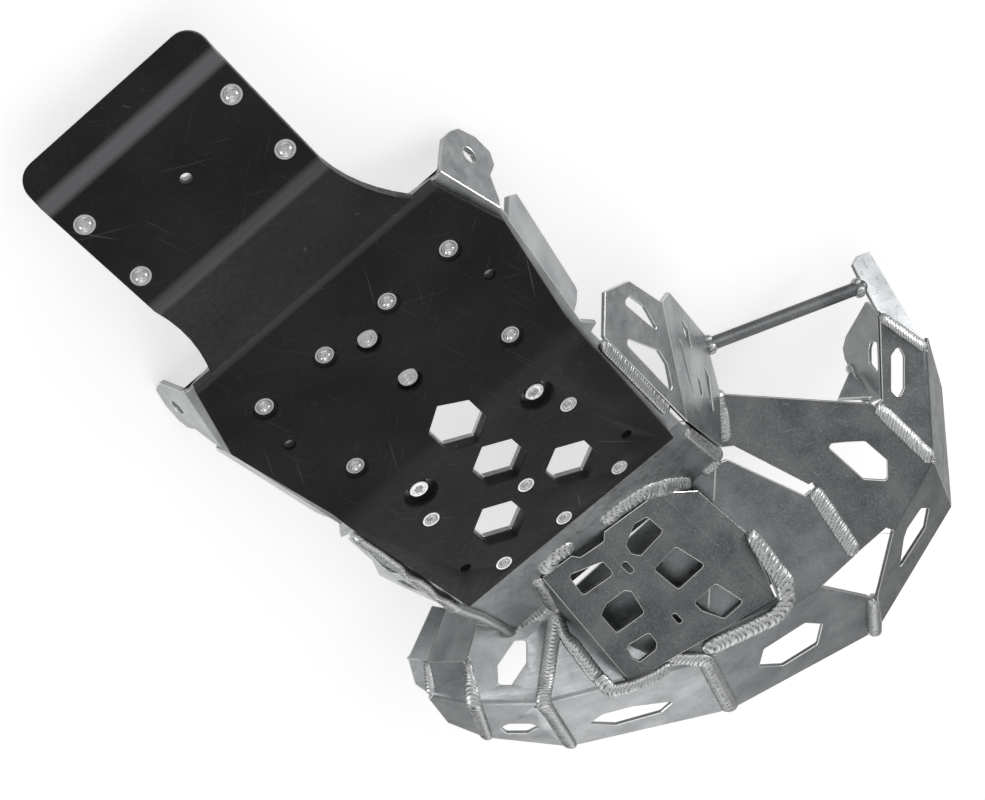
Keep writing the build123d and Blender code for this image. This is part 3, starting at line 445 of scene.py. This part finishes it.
def bead_tree():
    tree = bpy.data.node_groups.new("weld bead", "GeometryNodeTree")
    tree.interface.new_socket("Geometry", in_out="INPUT", socket_type="NodeSocketGeometry")
    for name in ("Radius", "Pitch", "Ripple", "Crescent", "Flatten", "Step", "Seed"):
        tree.interface.new_socket(name, in_out="INPUT", socket_type="NodeSocketFloat")
    tree.interface.new_socket("Material", in_out="INPUT", socket_type="NodeSocketMaterial")
    tree.interface.new_socket("Geometry", in_out="OUTPUT", socket_type="NodeSocketGeometry")
    given = add_node(tree, "NodeGroupInput").outputs

    # the path: rounded corners, even steps, and two values kept for later
    line = add_node(tree, "GeometryNodeMeshToCurve", {"Mesh": given["Geometry"]})
    line = add_node(tree, "GeometryNodeFilletCurve", {"Curve": line, "Count": 5, "Radius": path_rounding,
                                                      "Limit Radius": True}, mode="POLY")
    line = add_node(tree, "GeometryNodeResampleCurve", {"Curve": line, "Length": given["Step"]},
                    mode="LENGTH")
    along = add_node(tree, "GeometryNodeSplineParameter").outputs["Length"]
    total = add_node(tree, "GeometryNodeSplineLength").outputs["Length"]
    position = add_node(tree, "GeometryNodeInputPosition")
    line = add_node(tree, "GeometryNodeStoreNamedAttribute",
                    {"Geometry": line, "Name": "run", "Value": along}, data_type="FLOAT")
    line = add_node(tree, "GeometryNodeStoreNamedAttribute",
                    {"Geometry": line, "Name": "middle", "Value": position}, data_type="FLOAT_VECTOR")

    # domed ends: the section shrinks over the last radius of the run, as a quarter circle
    rest = add_node(tree, "ShaderNodeMath", {0: total, 1: along}, operation="SUBTRACT")
    to_end = add_node(tree, "ShaderNodeMath", {0: along, 1: rest}, operation="MINIMUM")
    share = add_node(tree, "ShaderNodeMath", {0: to_end, 1: given["Radius"]}, operation="DIVIDE")
    share = add_node(tree, "ShaderNodeMath", {0: share, 1: 1.0}, operation="MINIMUM")
    short = add_node(tree, "ShaderNodeMath", {0: 1.0, 1: share}, operation="SUBTRACT")
    square = add_node(tree, "ShaderNodeMath", {0: short, 1: 2.0}, operation="POWER")
    left = add_node(tree, "ShaderNodeMath", {0: 1.0, 1: square}, operation="SUBTRACT")
    left = add_node(tree, "ShaderNodeMath", {0: left, 1: 0.01}, operation="MAXIMUM")
    dome = add_node(tree, "ShaderNodeMath", {0: left}, operation="SQRT")
    section = add_node(tree, "GeometryNodeCurvePrimitiveCircle",
                       {"Resolution": 20, "Radius": given["Radius"]})
    swept = add_node(tree, "GeometryNodeCurveToMesh", {"Curve": line, "Profile Curve": section,
                                                       "Scale": dome, "Fill Caps": True})

    # spoke: from the path to the surface; crest: 1 where that is straight out of the sheet
    run, middle, outward = [
        add_node(tree, "GeometryNodeInputNamedAttribute", {"Name": name},
                 data_type=kind).outputs["Attribute"]
        for name, kind in (("run", "FLOAT"), ("middle", "FLOAT_VECTOR"), ("outward", "FLOAT_VECTOR"))]
    outward = add_node(tree, "ShaderNodeVectorMath", {0: outward}, operation="NORMALIZE")
    spoke = add_node(tree, "ShaderNodeVectorMath", {0: position, 1: middle}, operation="SUBTRACT")
    out = add_node(tree, "ShaderNodeVectorMath", {0: spoke}, operation="NORMALIZE")
    crest = add_node(tree, "ShaderNodeVectorMath", {0: out, 1: outward},
                     operation="DOT_PRODUCT").outputs["Value"]

    # ripples: a saw-tooth in the run, late at the sides, uneven by a seeded noise
    sway = add_node(tree, "ShaderNodeMath", {0: run, 1: sway_rate, 2: given["Seed"]},
                    operation="MULTIPLY_ADD")
    sway = add_node(tree, "ShaderNodeTexNoise", {"W": sway, "Scale": 1.0, "Detail": 2.0},
                    noise_dimensions="1D")
    pools = add_node(tree, "ShaderNodeMath", {0: run, 1: given["Pitch"]}, operation="DIVIDE")
    slope = add_node(tree, "ShaderNodeMath", {0: 1.0, 1: crest}, operation="SUBTRACT")
    lag = add_node(tree, "ShaderNodeMath", {0: slope, 1: given["Crescent"]}, operation="MULTIPLY")
    phase = add_node(tree, "ShaderNodeMath", {0: pools, 1: lag}, operation="SUBTRACT")
    drift = add_node(tree, "ShaderNodeMath", {0: sway, 1: sway_shift}, operation="MULTIPLY")
    phase = add_node(tree, "ShaderNodeMath", {0: phase, 1: drift}, operation="ADD")
    ripple = add_node(tree, "ShaderNodeMath", {0: phase}, operation="FRACT")
    fall = add_node(tree, "ShaderNodeMath", {0: 1.0, 1: ripple}, operation="SUBTRACT")
    fall = add_node(tree, "ShaderNodeMath", {0: fall, 1: ripple_fall}, operation="POWER")
    height = add_node(tree, "ShaderNodeMath", {0: fall, 1: given["Ripple"]}, operation="MULTIPLY")
    swell = add_node(tree, "ShaderNodeMath", {0: sway, 1: sway_middle}, operation="SUBTRACT")
    bulk = add_node(tree, "ShaderNodeMath", {0: given["Radius"], 1: sway_height}, operation="MULTIPLY")
    height = add_node(tree, "ShaderNodeMath", {0: swell, 1: bulk, 2: height}, operation="MULTIPLY_ADD")
    rise = add_node(tree, "ShaderNodeVectorMath", {0: out, "Scale": height}, operation="SCALE")

    # pressed lower: each point gives back a share of how far it stands out of the sheet
    proud = add_node(tree, "ShaderNodeVectorMath", {0: spoke, 1: outward},
                     operation="DOT_PRODUCT").outputs["Value"]
    press = add_node(tree, "ShaderNodeMath", {0: proud, 1: given["Flatten"]}, operation="MULTIPLY")
    press = add_node(tree, "ShaderNodeVectorMath", {0: outward, "Scale": press}, operation="SCALE")
    offset = add_node(tree, "ShaderNodeVectorMath", {0: rise, 1: press}, operation="SUBTRACT")
    moved = add_node(tree, "GeometryNodeSetPosition", {"Geometry": swept, "Offset": offset})

    # only the ripple stays on the mesh, for the shader
    kept = add_node(tree, "GeometryNodeStoreNamedAttribute",
                    {"Geometry": moved, "Name": "ripple", "Value": ripple}, data_type="FLOAT")
    for name in ("run", "middle", "outward"):
        kept = add_node(tree, "GeometryNodeRemoveAttribute", {"Geometry": kept, "Name": name})
    smooth = add_node(tree, "GeometryNodeSetShadeSmooth", {"Geometry": kept})
    real = add_node(tree, "GeometryNodeRealizeInstances", {"Geometry": smooth})
    painted = add_node(tree, "GeometryNodeSetMaterial", {"Geometry": real, "Material": given["Material"]})
    add_node(tree, "NodeGroupOutput", {"Geometry": painted})
    return tree


lay_bead = bead_tree()
print("bead tree nodes:", len(lay_bead.nodes))

# %% [markdown]
# ## Running a tree once
# The finished piece must be a plain mesh. So the tree runs as a modifier on a small
# carrier object, the result is read back as a mesh, and the carrier is thrown away.
# A modifier's input is set through the identifier of its socket, before the first run.

# %% Run a tree


def run_tree(name, start_mesh, tree, **inputs):
    carrier = bpy.data.objects.new(name + "_carrier", start_mesh)
    bpy.context.collection.objects.link(carrier)
    modifier = carrier.modifiers.new("make", "NODES")
    modifier.node_group = tree
    keys = {s.name: s.identifier for s in tree.interface.items_tree if s.in_out == "INPUT"}
    for key, value in inputs.items():
        modifier[keys[key]] = value
    bpy.context.view_layer.update()
    ready = carrier.evaluated_get(bpy.context.evaluated_depsgraph_get())
    result = bpy.data.meshes.new_from_object(ready)
    bpy.data.objects.remove(carrier)
    result.name = name
    made = bpy.data.objects.new(name, result)
    bpy.context.collection.objects.link(made)
    return made


def path_mesh(points, outwards):
    line = bpy.data.meshes.new("path")
    line.from_pydata([tuple(p) for p in points], [(i, i + 1) for i in range(len(points) - 1)], [])
    kept = line.attributes.new("outward", "FLOAT_VECTOR", "POINT")
    for i, way in enumerate(outwards):
        kept.data[i].vector = way
    return line


print("a tree's result becomes a plain mesh")

# %% [markdown]
# ## Where the beads run
# The places are the drawing's own corners of the guard's outer face. A bead sinks into
# the joint: its line lies a little inside the metal and its section is larger, so that
# what shows is low and broad. The strip is a plane, so a bead on it needs two numbers.

# %% Corners of the guard


def at(x, y, z):
    return Vector((x, y, z)) * mm


strip_foot = at(212.56, 0, 23.36)
left_end_top, left_end_fold = at(275, 155, 67), at(286, 166, 49)
left_seam_top, left_fold, left_rim = at(287, 131, 53), at(301, 145, 30), at(359, 167, 53)
centre_back, centre_fold, centre_rim = at(320, 64, 69), at(337, 110, 22), at(420, 130, 50)
front_root, front_fold, front_rim = at(382, 30, 27), at(404, 5, 17), at(499, 25, 48.5)
slot_end, relief_inner = at(362, -135, 42), at(418, -128, 18)
upper_inner, side_fold = at(344, -207, 50), at(398, -213, 24)
upper_back, upper_fold = at(307.4, -249.5, 78.6), at(346, -260, 63)


def on_strip(x, y):
    """a place on the strip's outer face, which is a plane that rises to the front"""
    slope = math.radians(strip_angle)
    return Vector((x * mm, y * mm, strip_foot.z + (x * mm - strip_foot.x) * math.tan(slope)))


print("strip height at its front edge in mm:", round(on_strip(304, 0).z / mm, 1))

# %% [markdown]
# ## Which way is out
# A bead is low and broad, so each point of its path must know which way the metal
# faces. The sheets themselves can tell: the outer faces within a few millimetres are
# found in a search tree, and the mean of their directions is the way out. On a fold it
# comes out halfway between the two panels, as it should.

# %% Outward directions
corners, faces = [], []
for name in (n for names in sheets_by_painted_light.values() for n in names):
    mesh = nodes[name].data
    base = len(corners)
    corners += [nodes[name].matrix_world @ v.co for v in mesh.vertices]
    faces += [[base + i for i in polygon.vertices] for polygon in mesh.polygons]
skin = BVHTree.FromPolygons(corners, faces)
heart = at(300, -20, 110)
facing_out = 0.02


def divided(points, step=12):
    """the same line with more points, so that the way out is asked for at each"""
    line = [points[0]]
    for start, end in zip(points, points[1:]):
        count = max(1, round((end - start).length / (step * mm)))
        line += [start.lerp(end, (i + 1) / count) for i in range(count)]
    return line


def outward_at(point, reach=9):
    """the mean direction of the sheets within reach that face away from the guard's heart"""
    found = {}
    for _, normal, _, _ in skin.find_nearest_range(point, reach * mm):
        if normal.dot(point - heart) > facing_out:
            found[tuple(round(v, 1) for v in normal)] = normal
    return (sum(found.values(), Vector()) or point - heart).normalized()


print("way out of the front fold:", [round(v, 2) for v in outward_at(front_fold)])

# %% Beads of the guard
pressed = 0.42
ripple_share, crescent, mesh_step, seed_gap = 0.17, 1.5, 0.45 * mm, 7.3
# a bead is its radius, its pitch, how deep its line is sunk, the share that is pressed
# flat, and its path; two beads stay nearly round
beads = {
    "left_end_weld": (4.2, 2.4, 0.4, pressed, [left_end_top, left_end_fold]),
    "left_seam_weld": (5.4, 2.6, 0.6, pressed, [left_seam_top, left_fold, left_rim]),
    "centre_seam_weld": (5.6, 2.8, 0.6, pressed, [centre_back, centre_fold, centre_rim]),
    "front_seam_weld": (6.4, 3.2, 0.6, pressed, [front_root, front_fold, front_rim]),
    "right_seam_weld": (6.4, 2.8, 0.6, pressed, [slot_end, relief_inner]),
    "relief_seam_weld": (5.4, 2.6, 0.0, 0.05, [at(484, -114.6, 34.2), at(538, -95.7, 52.0)]),
    "upper_seam_weld": (5.6, 2.8, 0.6, pressed, [upper_inner, side_fold]),
    "tab_seam_weld": (4.6, 2.4, 0.4, pressed, [upper_back, upper_fold]),
    "nose_rear_left_weld": (8.6, 4.2, 0.4, pressed, [
        on_strip(257, 46), on_strip(252, 29), on_strip(257, 14)]),
    "nose_rear_right_weld": (8.4, 3.8, 0.4, pressed, [
        on_strip(260, -9), on_strip(259, -27), on_strip(264, -45), on_strip(273, -57),
        on_strip(302, -70)]),
    "nose_left_weld": (5.6, 3.0, 0.0, pressed, [
        on_strip(262, 52), on_strip(290, 57), centre_back, at(329.6, 69.4, 55.4),
        at(352.8, 70.1, 30.3), at(366.3, 69, 16.7), at(375.4, 55.1, 15.8), at(383.7, 38.7, 17.3),
        at(388.3, 25.7, 20.6)]),
    "nose_right_weld": (7.0, 4.4, 0.0, pressed, [
        at(354.1, -80.5, 42.6), at(376.6, -78, 33), at(399.3, -75.5, 23.3), at(410.6, -68.2, 18.2),
        at(412.9, -53.6, 16.4), at(407.5, -33.2, 17.6), at(401.4, -13.4, 19.1),
        at(396.5, 2.3, 20.3)]),
    "strip_left_weld": (7.0, 3.0, 0.0, 0.10, [
        on_strip(308, 97), on_strip(316, 87), on_strip(318, 70), on_strip(312, 60)]),
    "strip_right_weld": (4.8, 2.4, 0.0, pressed, [on_strip(304, -82), on_strip(304, -99)]),
    "right_bracket_weld": (5.6, 2.8, 0.4, pressed, [at(104, -99.5, 4.5), at(197, -99.5, 20.6)]),
    "right_corner_weld": (5.6, 2.8, 0.4, pressed, [on_strip(229, -99), on_strip(299, -100)]),
    "left_bracket_weld": (5.6, 2.8, 0.4, pressed, [
        at(92, 99, 2.4), at(199.5, 99, 21), on_strip(214, 99), on_strip(246.5, 97),
        on_strip(286, 98), on_strip(310, 99)]),
    "side_back_weld": (5.4, 2.6, 0.2, pressed, [
        at(273, -129, 89.6), at(288.4, -118.9, 82.4), at(303, -108.2, 75.3)]),
    "wing_weld": (3.9, 2.2, 0.2, pressed, [at(336.3, -210.6, 91.2), at(349.7, -203.4, 63.2)]),
}
total_length = 0.0
for seed, (name, (radius, pitch, sunk, flatten, points)) in enumerate(sorted(beads.items())):
    total_length += sum((q - p).length for p, q in zip(points, points[1:]))
    points = divided(points)
    outwards = [outward_at(p) for p in points]
    line = path_mesh([p - way * sunk * mm for p, way in zip(points, outwards)], outwards)
    bead = run_tree("bead_of_" + name, line, lay_bead, Radius=radius * mm, Pitch=pitch * mm,
                    Ripple=ripple_share * pitch * mm, Crescent=crescent, Flatten=flatten,
                    Step=mesh_step, Seed=seed_gap * seed, Material=weld_metal)
    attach(bead, "root")
    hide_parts(name)
print("beads laid:", len(beads), "in mm:", round(total_length / mm))

# %% [markdown]
# ## Screws
# Sixteen screws hold the plastic to the sheet, and four bolts hold the whole plate to
# the motorcycle. Those of a kind are alike, so one is modelled with care and the rest
# are copies. A screw is a stack of rings, and the rings of its socket are pulled into a
# hexagon. Geometry Nodes set a copy on each place, and turn each by its own amount,
# because no two screws stop at the same angle.

# %% One fastener from rings
ring_points = 48


def ringed_mesh(name, rings):
    """rings of (radius mm, height mm, hexagon 0 or 1) from the shank's end to the socket's floor"""
    mesh = bmesh.new()
    loops = []
    for radius, height, hexagon in rings:
        loop = []
        for i in range(ring_points):
            angle = 2 * math.pi * i / ring_points
            fold = (angle + math.pi / 6) % (math.pi / 3) - math.pi / 6
            reach = radius * (math.cos(math.pi / 6) / math.cos(fold) if hexagon else 1.0)
            loop.append(mesh.verts.new(at(reach * math.cos(angle), reach * math.sin(angle), height)))
        loops.append(loop)
    for low, high in zip(loops, loops[1:]):
        for i in range(ring_points):
            j = (i + 1) % ring_points
            mesh.faces.new((low[i], low[j], high[j], high[i]))
    mesh.faces.new(loops[0][::-1])
    mesh.faces.new(loops[-1])
    bmesh.ops.recalc_face_normals(mesh, faces=mesh.faces)
    made = bpy.data.meshes.new(name)
    mesh.to_mesh(made)
    mesh.free()
    return made


def threaded_end(length, r, turns=5, pitch=1.0):
    """grooved rings near the shank's end, which stand for its thread"""
    rings = [(r - 0.7, length, 0), (r - 0.1, length - 0.5, 0)]
    for i in range(turns):
        top = length - 0.5 - i * pitch
        rings += [(r - 0.45, top - 0.5 * pitch, 0), (r, top - pitch, 0)]
    return rings


def flat_screw(length):
    """an M6 countersunk screw, with a groove in its head round the hexagon socket"""
    return ringed_mesh("flat_screw", threaded_end(length, 3.0) + [
        (3.0, 3.3, 0), (5.7, 0.6, 0), (5.9, 0.35, 0), (5.8, 0.08, 0), (5.5, 0, 0), (4.5, 0, 0),
        (4.7, 0.0, 0), (4.5, 0.55, 0), (4.2, 0.75, 0), (3.9, 0.6, 0), (3.7, 0.1, 0), (3.4, 0.0, 0),
        (3.2, 0.08, 0), (2.5, 0.75, 0), (2.2, 0.9, 1), (2.1, 2.2, 1), (0.3, 2.5, 1)])


def barrel_bolt(length):
    """an M8 bolt with a round head and a hexagon socket"""
    return ringed_mesh("barrel_bolt", threaded_end(length, 4.0, pitch=1.25) + [
        (4.0, 4.5, 0), (6.5, 4.4, 0), (6.8, 4.1, 0), (6.8, 0.8, 0), (6.45, 0.2, 0), (5.9, 0, 0),
        (4.6, 0, 0), (4.3, 0.35, 0), (3.4, 0.4, 0), (3.2, 0.45, 1), (3.1, 3.0, 1), (0.4, 3.4, 1)])


print("rings around each fastener:", ring_points, "points")

# %% A tree that sets the screws


def screw_tree():
    tree = bpy.data.node_groups.new("screw set", "GeometryNodeTree")
    tree.interface.new_socket("Geometry", in_out="INPUT", socket_type="NodeSocketGeometry")
    tree.interface.new_socket("Screw", in_out="INPUT", socket_type="NodeSocketObject")
    for name in ("Lean", "Size"):
        tree.interface.new_socket(name, in_out="INPUT", socket_type="NodeSocketFloat")
    tree.interface.new_socket("Seed", in_out="INPUT", socket_type="NodeSocketInt")
    tree.interface.new_socket("Material", in_out="INPUT", socket_type="NodeSocketMaterial")
    tree.interface.new_socket("Geometry", in_out="OUTPUT", socket_type="NodeSocketGeometry")
    given = add_node(tree, "NodeGroupInput").outputs
    # inputs 2 and 3 and output 1 of a Random Value are those of a plain number
    spin = add_node(tree, "FunctionNodeRandomValue", {2: 0.0, 3: 2 * math.pi, "Seed": given["Seed"]},
                    data_type="FLOAT").outputs[1]
    own_turn = add_node(tree, "ShaderNodeCombineXYZ", {"Z": spin})
    lean = add_node(tree, "ShaderNodeCombineXYZ", {"Y": given["Lean"]})
    copy = add_node(tree, "GeometryNodeObjectInfo", {"Object": given["Screw"]}).outputs["Geometry"]
    points = add_node(tree, "GeometryNodeMeshToPoints", {"Mesh": given["Geometry"]})
    placed = add_node(tree, "GeometryNodeInstanceOnPoints",
                      {"Points": points, "Instance": copy, "Rotation": lean, "Scale": given["Size"]})
    spun = add_node(tree, "GeometryNodeRotateInstances", {"Instances": placed, "Rotation": own_turn})
    real = add_node(tree, "GeometryNodeRealizeInstances", {"Geometry": spun})
    painted = add_node(tree, "GeometryNodeSetMaterial", {"Geometry": real, "Material": given["Material"]})
    add_node(tree, "NodeGroupOutput", {"Geometry": painted})
    return tree


set_screws = screw_tree()
print("screw tree nodes:", len(set_screws.nodes))

# %% [markdown]
# ## Where the screws sit
# The CAD node of a screw group is one mesh with several separate screws in it. Merging
# a copy and walking along its edges finds each one, and its lowest point along its own
# axis is the face of its head. So the new screws sit exactly where the drawn ones were,
# and nothing is typed twice. The places are put in order, so that each screw has the
# same turn at every run.

# %% Find and set the screws
same_place = 0.01 * mm


def islands(name):
    """the points of each separate screw in a node, met in the order of its mesh"""
    mesh = bmesh.new()
    mesh.from_mesh(nodes[name].data)
    bmesh.ops.remove_doubles(mesh, verts=mesh.verts, dist=same_place)
    left = set(mesh.verts)
    groups = []
    for first in mesh.verts:
        if first not in left:
            continue
        left.remove(first)
        open_verts, group = [first], []
        while open_verts:
            vert = open_verts.pop()
            group.append(vert.co.copy())
            for edge in vert.link_edges:
                other = edge.other_vert(vert)
                if other in left:
                    left.remove(other)
                    open_verts.append(other)
        groups.append(group)
    mesh.free()
    return groups


def head_places(name, lean):
    """the middle of each head's face, and the length that the screws of a node share"""
    axis = Vector((-math.sin(lean), 0, math.cos(lean)))
    places = []
    for group in islands(name):
        reach = [p.dot(axis) for p in group]
        low, high = min(reach), max(reach)
        head = [p for p, r in zip(group, reach) if r < low + same_place]
        places.append(sum(head, Vector()) / len(head))
        length = (high - low) / mm
    return sorted(places, key=lambda p: (round(p.x / mm), round(p.y / mm))), length


def set_group(name, lean_degrees, make, seed):
    lean = math.radians(lean_degrees)
    places, length = head_places(name, lean)
    pattern = bpy.data.objects.new(name + "_pattern", make(length))
    bpy.context.collection.objects.link(pattern)
    dots = bpy.data.meshes.new("dots")
    dots.from_pydata([tuple(p) for p in places], [], [])
    piece = run_tree("set_of_" + name, dots, set_screws, Screw=pattern, Lean=-lean, Size=1.0, Seed=seed,
                     Material=zinc)
    bpy.data.objects.remove(pattern)
    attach(piece, "root")
    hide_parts(name)
    print(name, "copies:", len(places), "length in mm:", round(length, 1))


set_group("main_screws", 0.0, flat_screw, 3)
set_group("front_screws", front_angle, flat_screw, 5)
set_group("tongue_screws", -tongue_angle, flat_screw, 8)
set_group("centre_bolts", 0.0, barrel_bolt, 11)
set_group("side_bolts", front_angle, barrel_bolt, 14)

# %% [markdown]
# ## The ends of the brace bar
# The bar is welded to the sheet all round at both ends. A path that goes nearly once
# round the bar gives a small ring of the same rippled metal.

# %% Ring beads
bar_low, bar_high, bar_r, from_end = at(242, -143, 98), at(291, -252, 97), 4.9, 2.2
bar_way = (bar_high - bar_low).normalized()
side = bar_way.orthogonal().normalized()
other = bar_way.cross(side)
angles = [math.radians(a) for a in range(0, 360, 15)]
ways = [side * math.cos(a) + other * math.sin(a) for a in angles]
rings = []
for end, inward in ((bar_low, from_end), (bar_high, -from_end)):
    middle = end + bar_way * inward * mm
    line = path_mesh([middle + way * bar_r * mm for way in ways], ways)
    rings.append(run_tree("ring", line, lay_bead, Radius=3.2 * mm, Pitch=2.2 * mm, Ripple=0.3 * mm,
                          Crescent=1.0, Flatten=0.25, Step=mesh_step, Seed=float(len(rings)),
                          Material=weld_metal))
joined = bmesh.new()
for ring in rings:
    joined.from_mesh(ring.data)
rings[0].name = "bead_of_bar_welds"
joined.to_mesh(rings[0].data)
joined.free()
bpy.data.objects.remove(rings[1])
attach(rings[0], "root")
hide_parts("bar_welds")
print("ring beads:", len(rings))

# %% [markdown]
# ## The studio
# A pale table and soft light, with nothing that competes. The object rests on its back
# for this picture, so the table is a tilted plane above it in the motorcycle's frame.
# Seen from any other side the table would hide the object, so it shows only its lower
# face, and a second floor below shows only its upper face.

# %% Table and floor
stage_reach = 6.0
table_gap, floor_gap = 1 * mm, 2 * mm
table_glow, floor_glow = 0.46, 0.30


def pale_stage(name, middle, normal, glow):
    """pale paper that shows its front only, and glows a little to the camera"""
    mesh = bpy.data.meshes.new(name)
    side = normal.orthogonal().normalized()
    other = normal.cross(side)
    corners = [middle + (side * a + other * b) * stage_reach
               for a, b in ((1, 1), (-1, 1), (-1, -1), (1, -1))]
    mesh.from_pydata([tuple(c) for c in corners], [], [(0, 1, 2, 3)])
    material = bpy.data.materials.new(name + " paper")
    material.use_nodes = True
    tree = material.node_tree
    tree.nodes.clear()
    paper = add_node(tree, "ShaderNodeBsdfDiffuse", {"Color": colour("#efefef")})
    seen = add_node(tree, "ShaderNodeLightPath").outputs["Is Camera Ray"]
    strength = add_node(tree, "ShaderNodeMath", {0: seen, 1: glow}, operation="MULTIPLY")
    light = add_node(tree, "ShaderNodeEmission", {"Strength": strength})
    both = add_node(tree, "ShaderNodeAddShader", {0: paper, 1: light})
    back = add_node(tree, "ShaderNodeNewGeometry").outputs["Backfacing"]
    clear = add_node(tree, "ShaderNodeBsdfTransparent")
    shown = add_node(tree, "ShaderNodeMixShader", {0: back, 1: both, 2: clear})
    add_node(tree, "ShaderNodeOutputMaterial", {"Surface": shown})
    mesh.materials.append(material)
    made = bpy.data.objects.new(name, mesh)
    bpy.context.collection.objects.link(made)
    made.visible_shadow = False
    made.visible_diffuse = False
    made.visible_glossy = False
    made.visible_transmission = False


rest_a, rest_b, rest_c = at(-260, 0, -30), at(300, -270, 123), at(335, 104, 127)
table_normal = (rest_b - rest_a).cross(rest_c - rest_a).normalized()
if table_normal.z > 0:
    table_normal = -table_normal
deepest = min((piece.matrix_world @ vert.co).dot(table_normal) for piece in nodes.values()
              for vert in piece.data.vertices)
rest_middle = (rest_a + rest_b + rest_c) / 3
rest_middle += table_normal * (deepest - rest_middle.dot(table_normal) - table_gap)
pale_stage("table", rest_middle, table_normal, table_glow)
pale_stage("floor", Vector((plate_middle.x, 0, cad_low.z - floor_gap)), Vector((0, 0, 1)), floor_glow)
print("table tilt in degrees:", round(math.degrees(table_normal.angle(Vector((0, 0, -1)))), 1))

# %% [markdown]
# ## Soft light
# Metal shows what surrounds it. The world here is a smooth gradient: white where the
# table and its backdrop are, falling to dark grey behind the camera, where a studio
# is unlit. The camera sees it as plain white. Area lamps stand for soft boxes: two large
# ones light the flat panels, and two narrow ones at the sides put sparks on round metal.

# %% World
backdrop_way = Vector((0.45, 0.12, 0.88)).normalized()
# from behind the camera to the backdrop
sky_greys = {0.0: 0.55, 0.35: 0.48, 0.58: 0.26, 0.75: 0.52, 0.86: 0.88, 1.0: 1.0}
world = bpy.data.worlds.new("studio")
bpy.context.scene.world = world
world.use_nodes = True
sky = world.node_tree
sky.nodes.clear()
ray_way = add_node(sky, "ShaderNodeTexCoord").outputs["Generated"]
facing = add_node(sky, "ShaderNodeVectorMath", {0: ray_way, 1: backdrop_way},
                  operation="DOT_PRODUCT").outputs["Value"]
share = add_node(sky, "ShaderNodeMapRange", {"Value": facing, "From Min": -1.0})
level = add_node(sky, "ShaderNodeValToRGB", {"Fac": share})
stops = level.color_ramp.elements
for position in list(sky_greys)[1:-1]:
    stops.new(position)
for stop, grey in zip(stops, sky_greys.values()):
    stop.color = (grey, grey, grey, 1)
seen = add_node(sky, "ShaderNodeLightPath").outputs["Is Camera Ray"]
shown = add_node(sky, "ShaderNodeMix", {0: seen, 6: level, 7: (1, 1, 1, 1)},
                 data_type="RGBA").outputs[2]
backing = add_node(sky, "ShaderNodeBackground", {"Color": shown, "Strength": 1.0})
add_node(sky, "ShaderNodeOutputWorld", {"Surface": backing})
print("world stops:", [(round(s.position, 2), round(s.color[0], 2)) for s in stops])

# %% Lamps
lamp_aim = Vector((0.12, -0.02, 0.02))


def soft_box(name, way, distance, side, power):
    """a square lamp that looks at the object from so many metres, and isn't seen itself"""
    lamp = bpy.data.lights.new(name, "AREA")
    lamp.size = side
    lamp.energy = power
    made = bpy.data.objects.new(name, lamp)
    bpy.context.collection.objects.link(made)
    made.location = lamp_aim + Vector(way).normalized() * distance
    made.rotation_euler = (lamp_aim - made.location).to_track_quat("-Z", "Y").to_euler()
    made.visible_camera = False
    return made


def spare_floor(lamp):
    """the low side lamps would glare on the floor, so it is left out of their reach"""
    spared = bpy.data.collections.new(lamp.name + " spares")
    spared.objects.link(bpy.data.objects["floor"])
    spared.collection_objects[0].light_linking.link_state = "EXCLUDE"
    lamp.light_linking.receiver_collection = spared


soft_box("soft box beside the camera", (-0.62, -0.42, -0.66), 1.7, 1.0, 3.4)
soft_box("soft box ahead", (0.85, 0.40, -0.38), 1.5, 0.9, 2.6)
spare_floor(soft_box("narrow box on the right", (0.15, -0.97, -0.18), 1.4, 0.5, 6.0))
spare_floor(soft_box("narrow box on the left", (-0.25, 0.95, -0.20), 1.4, 0.5, 4.5))
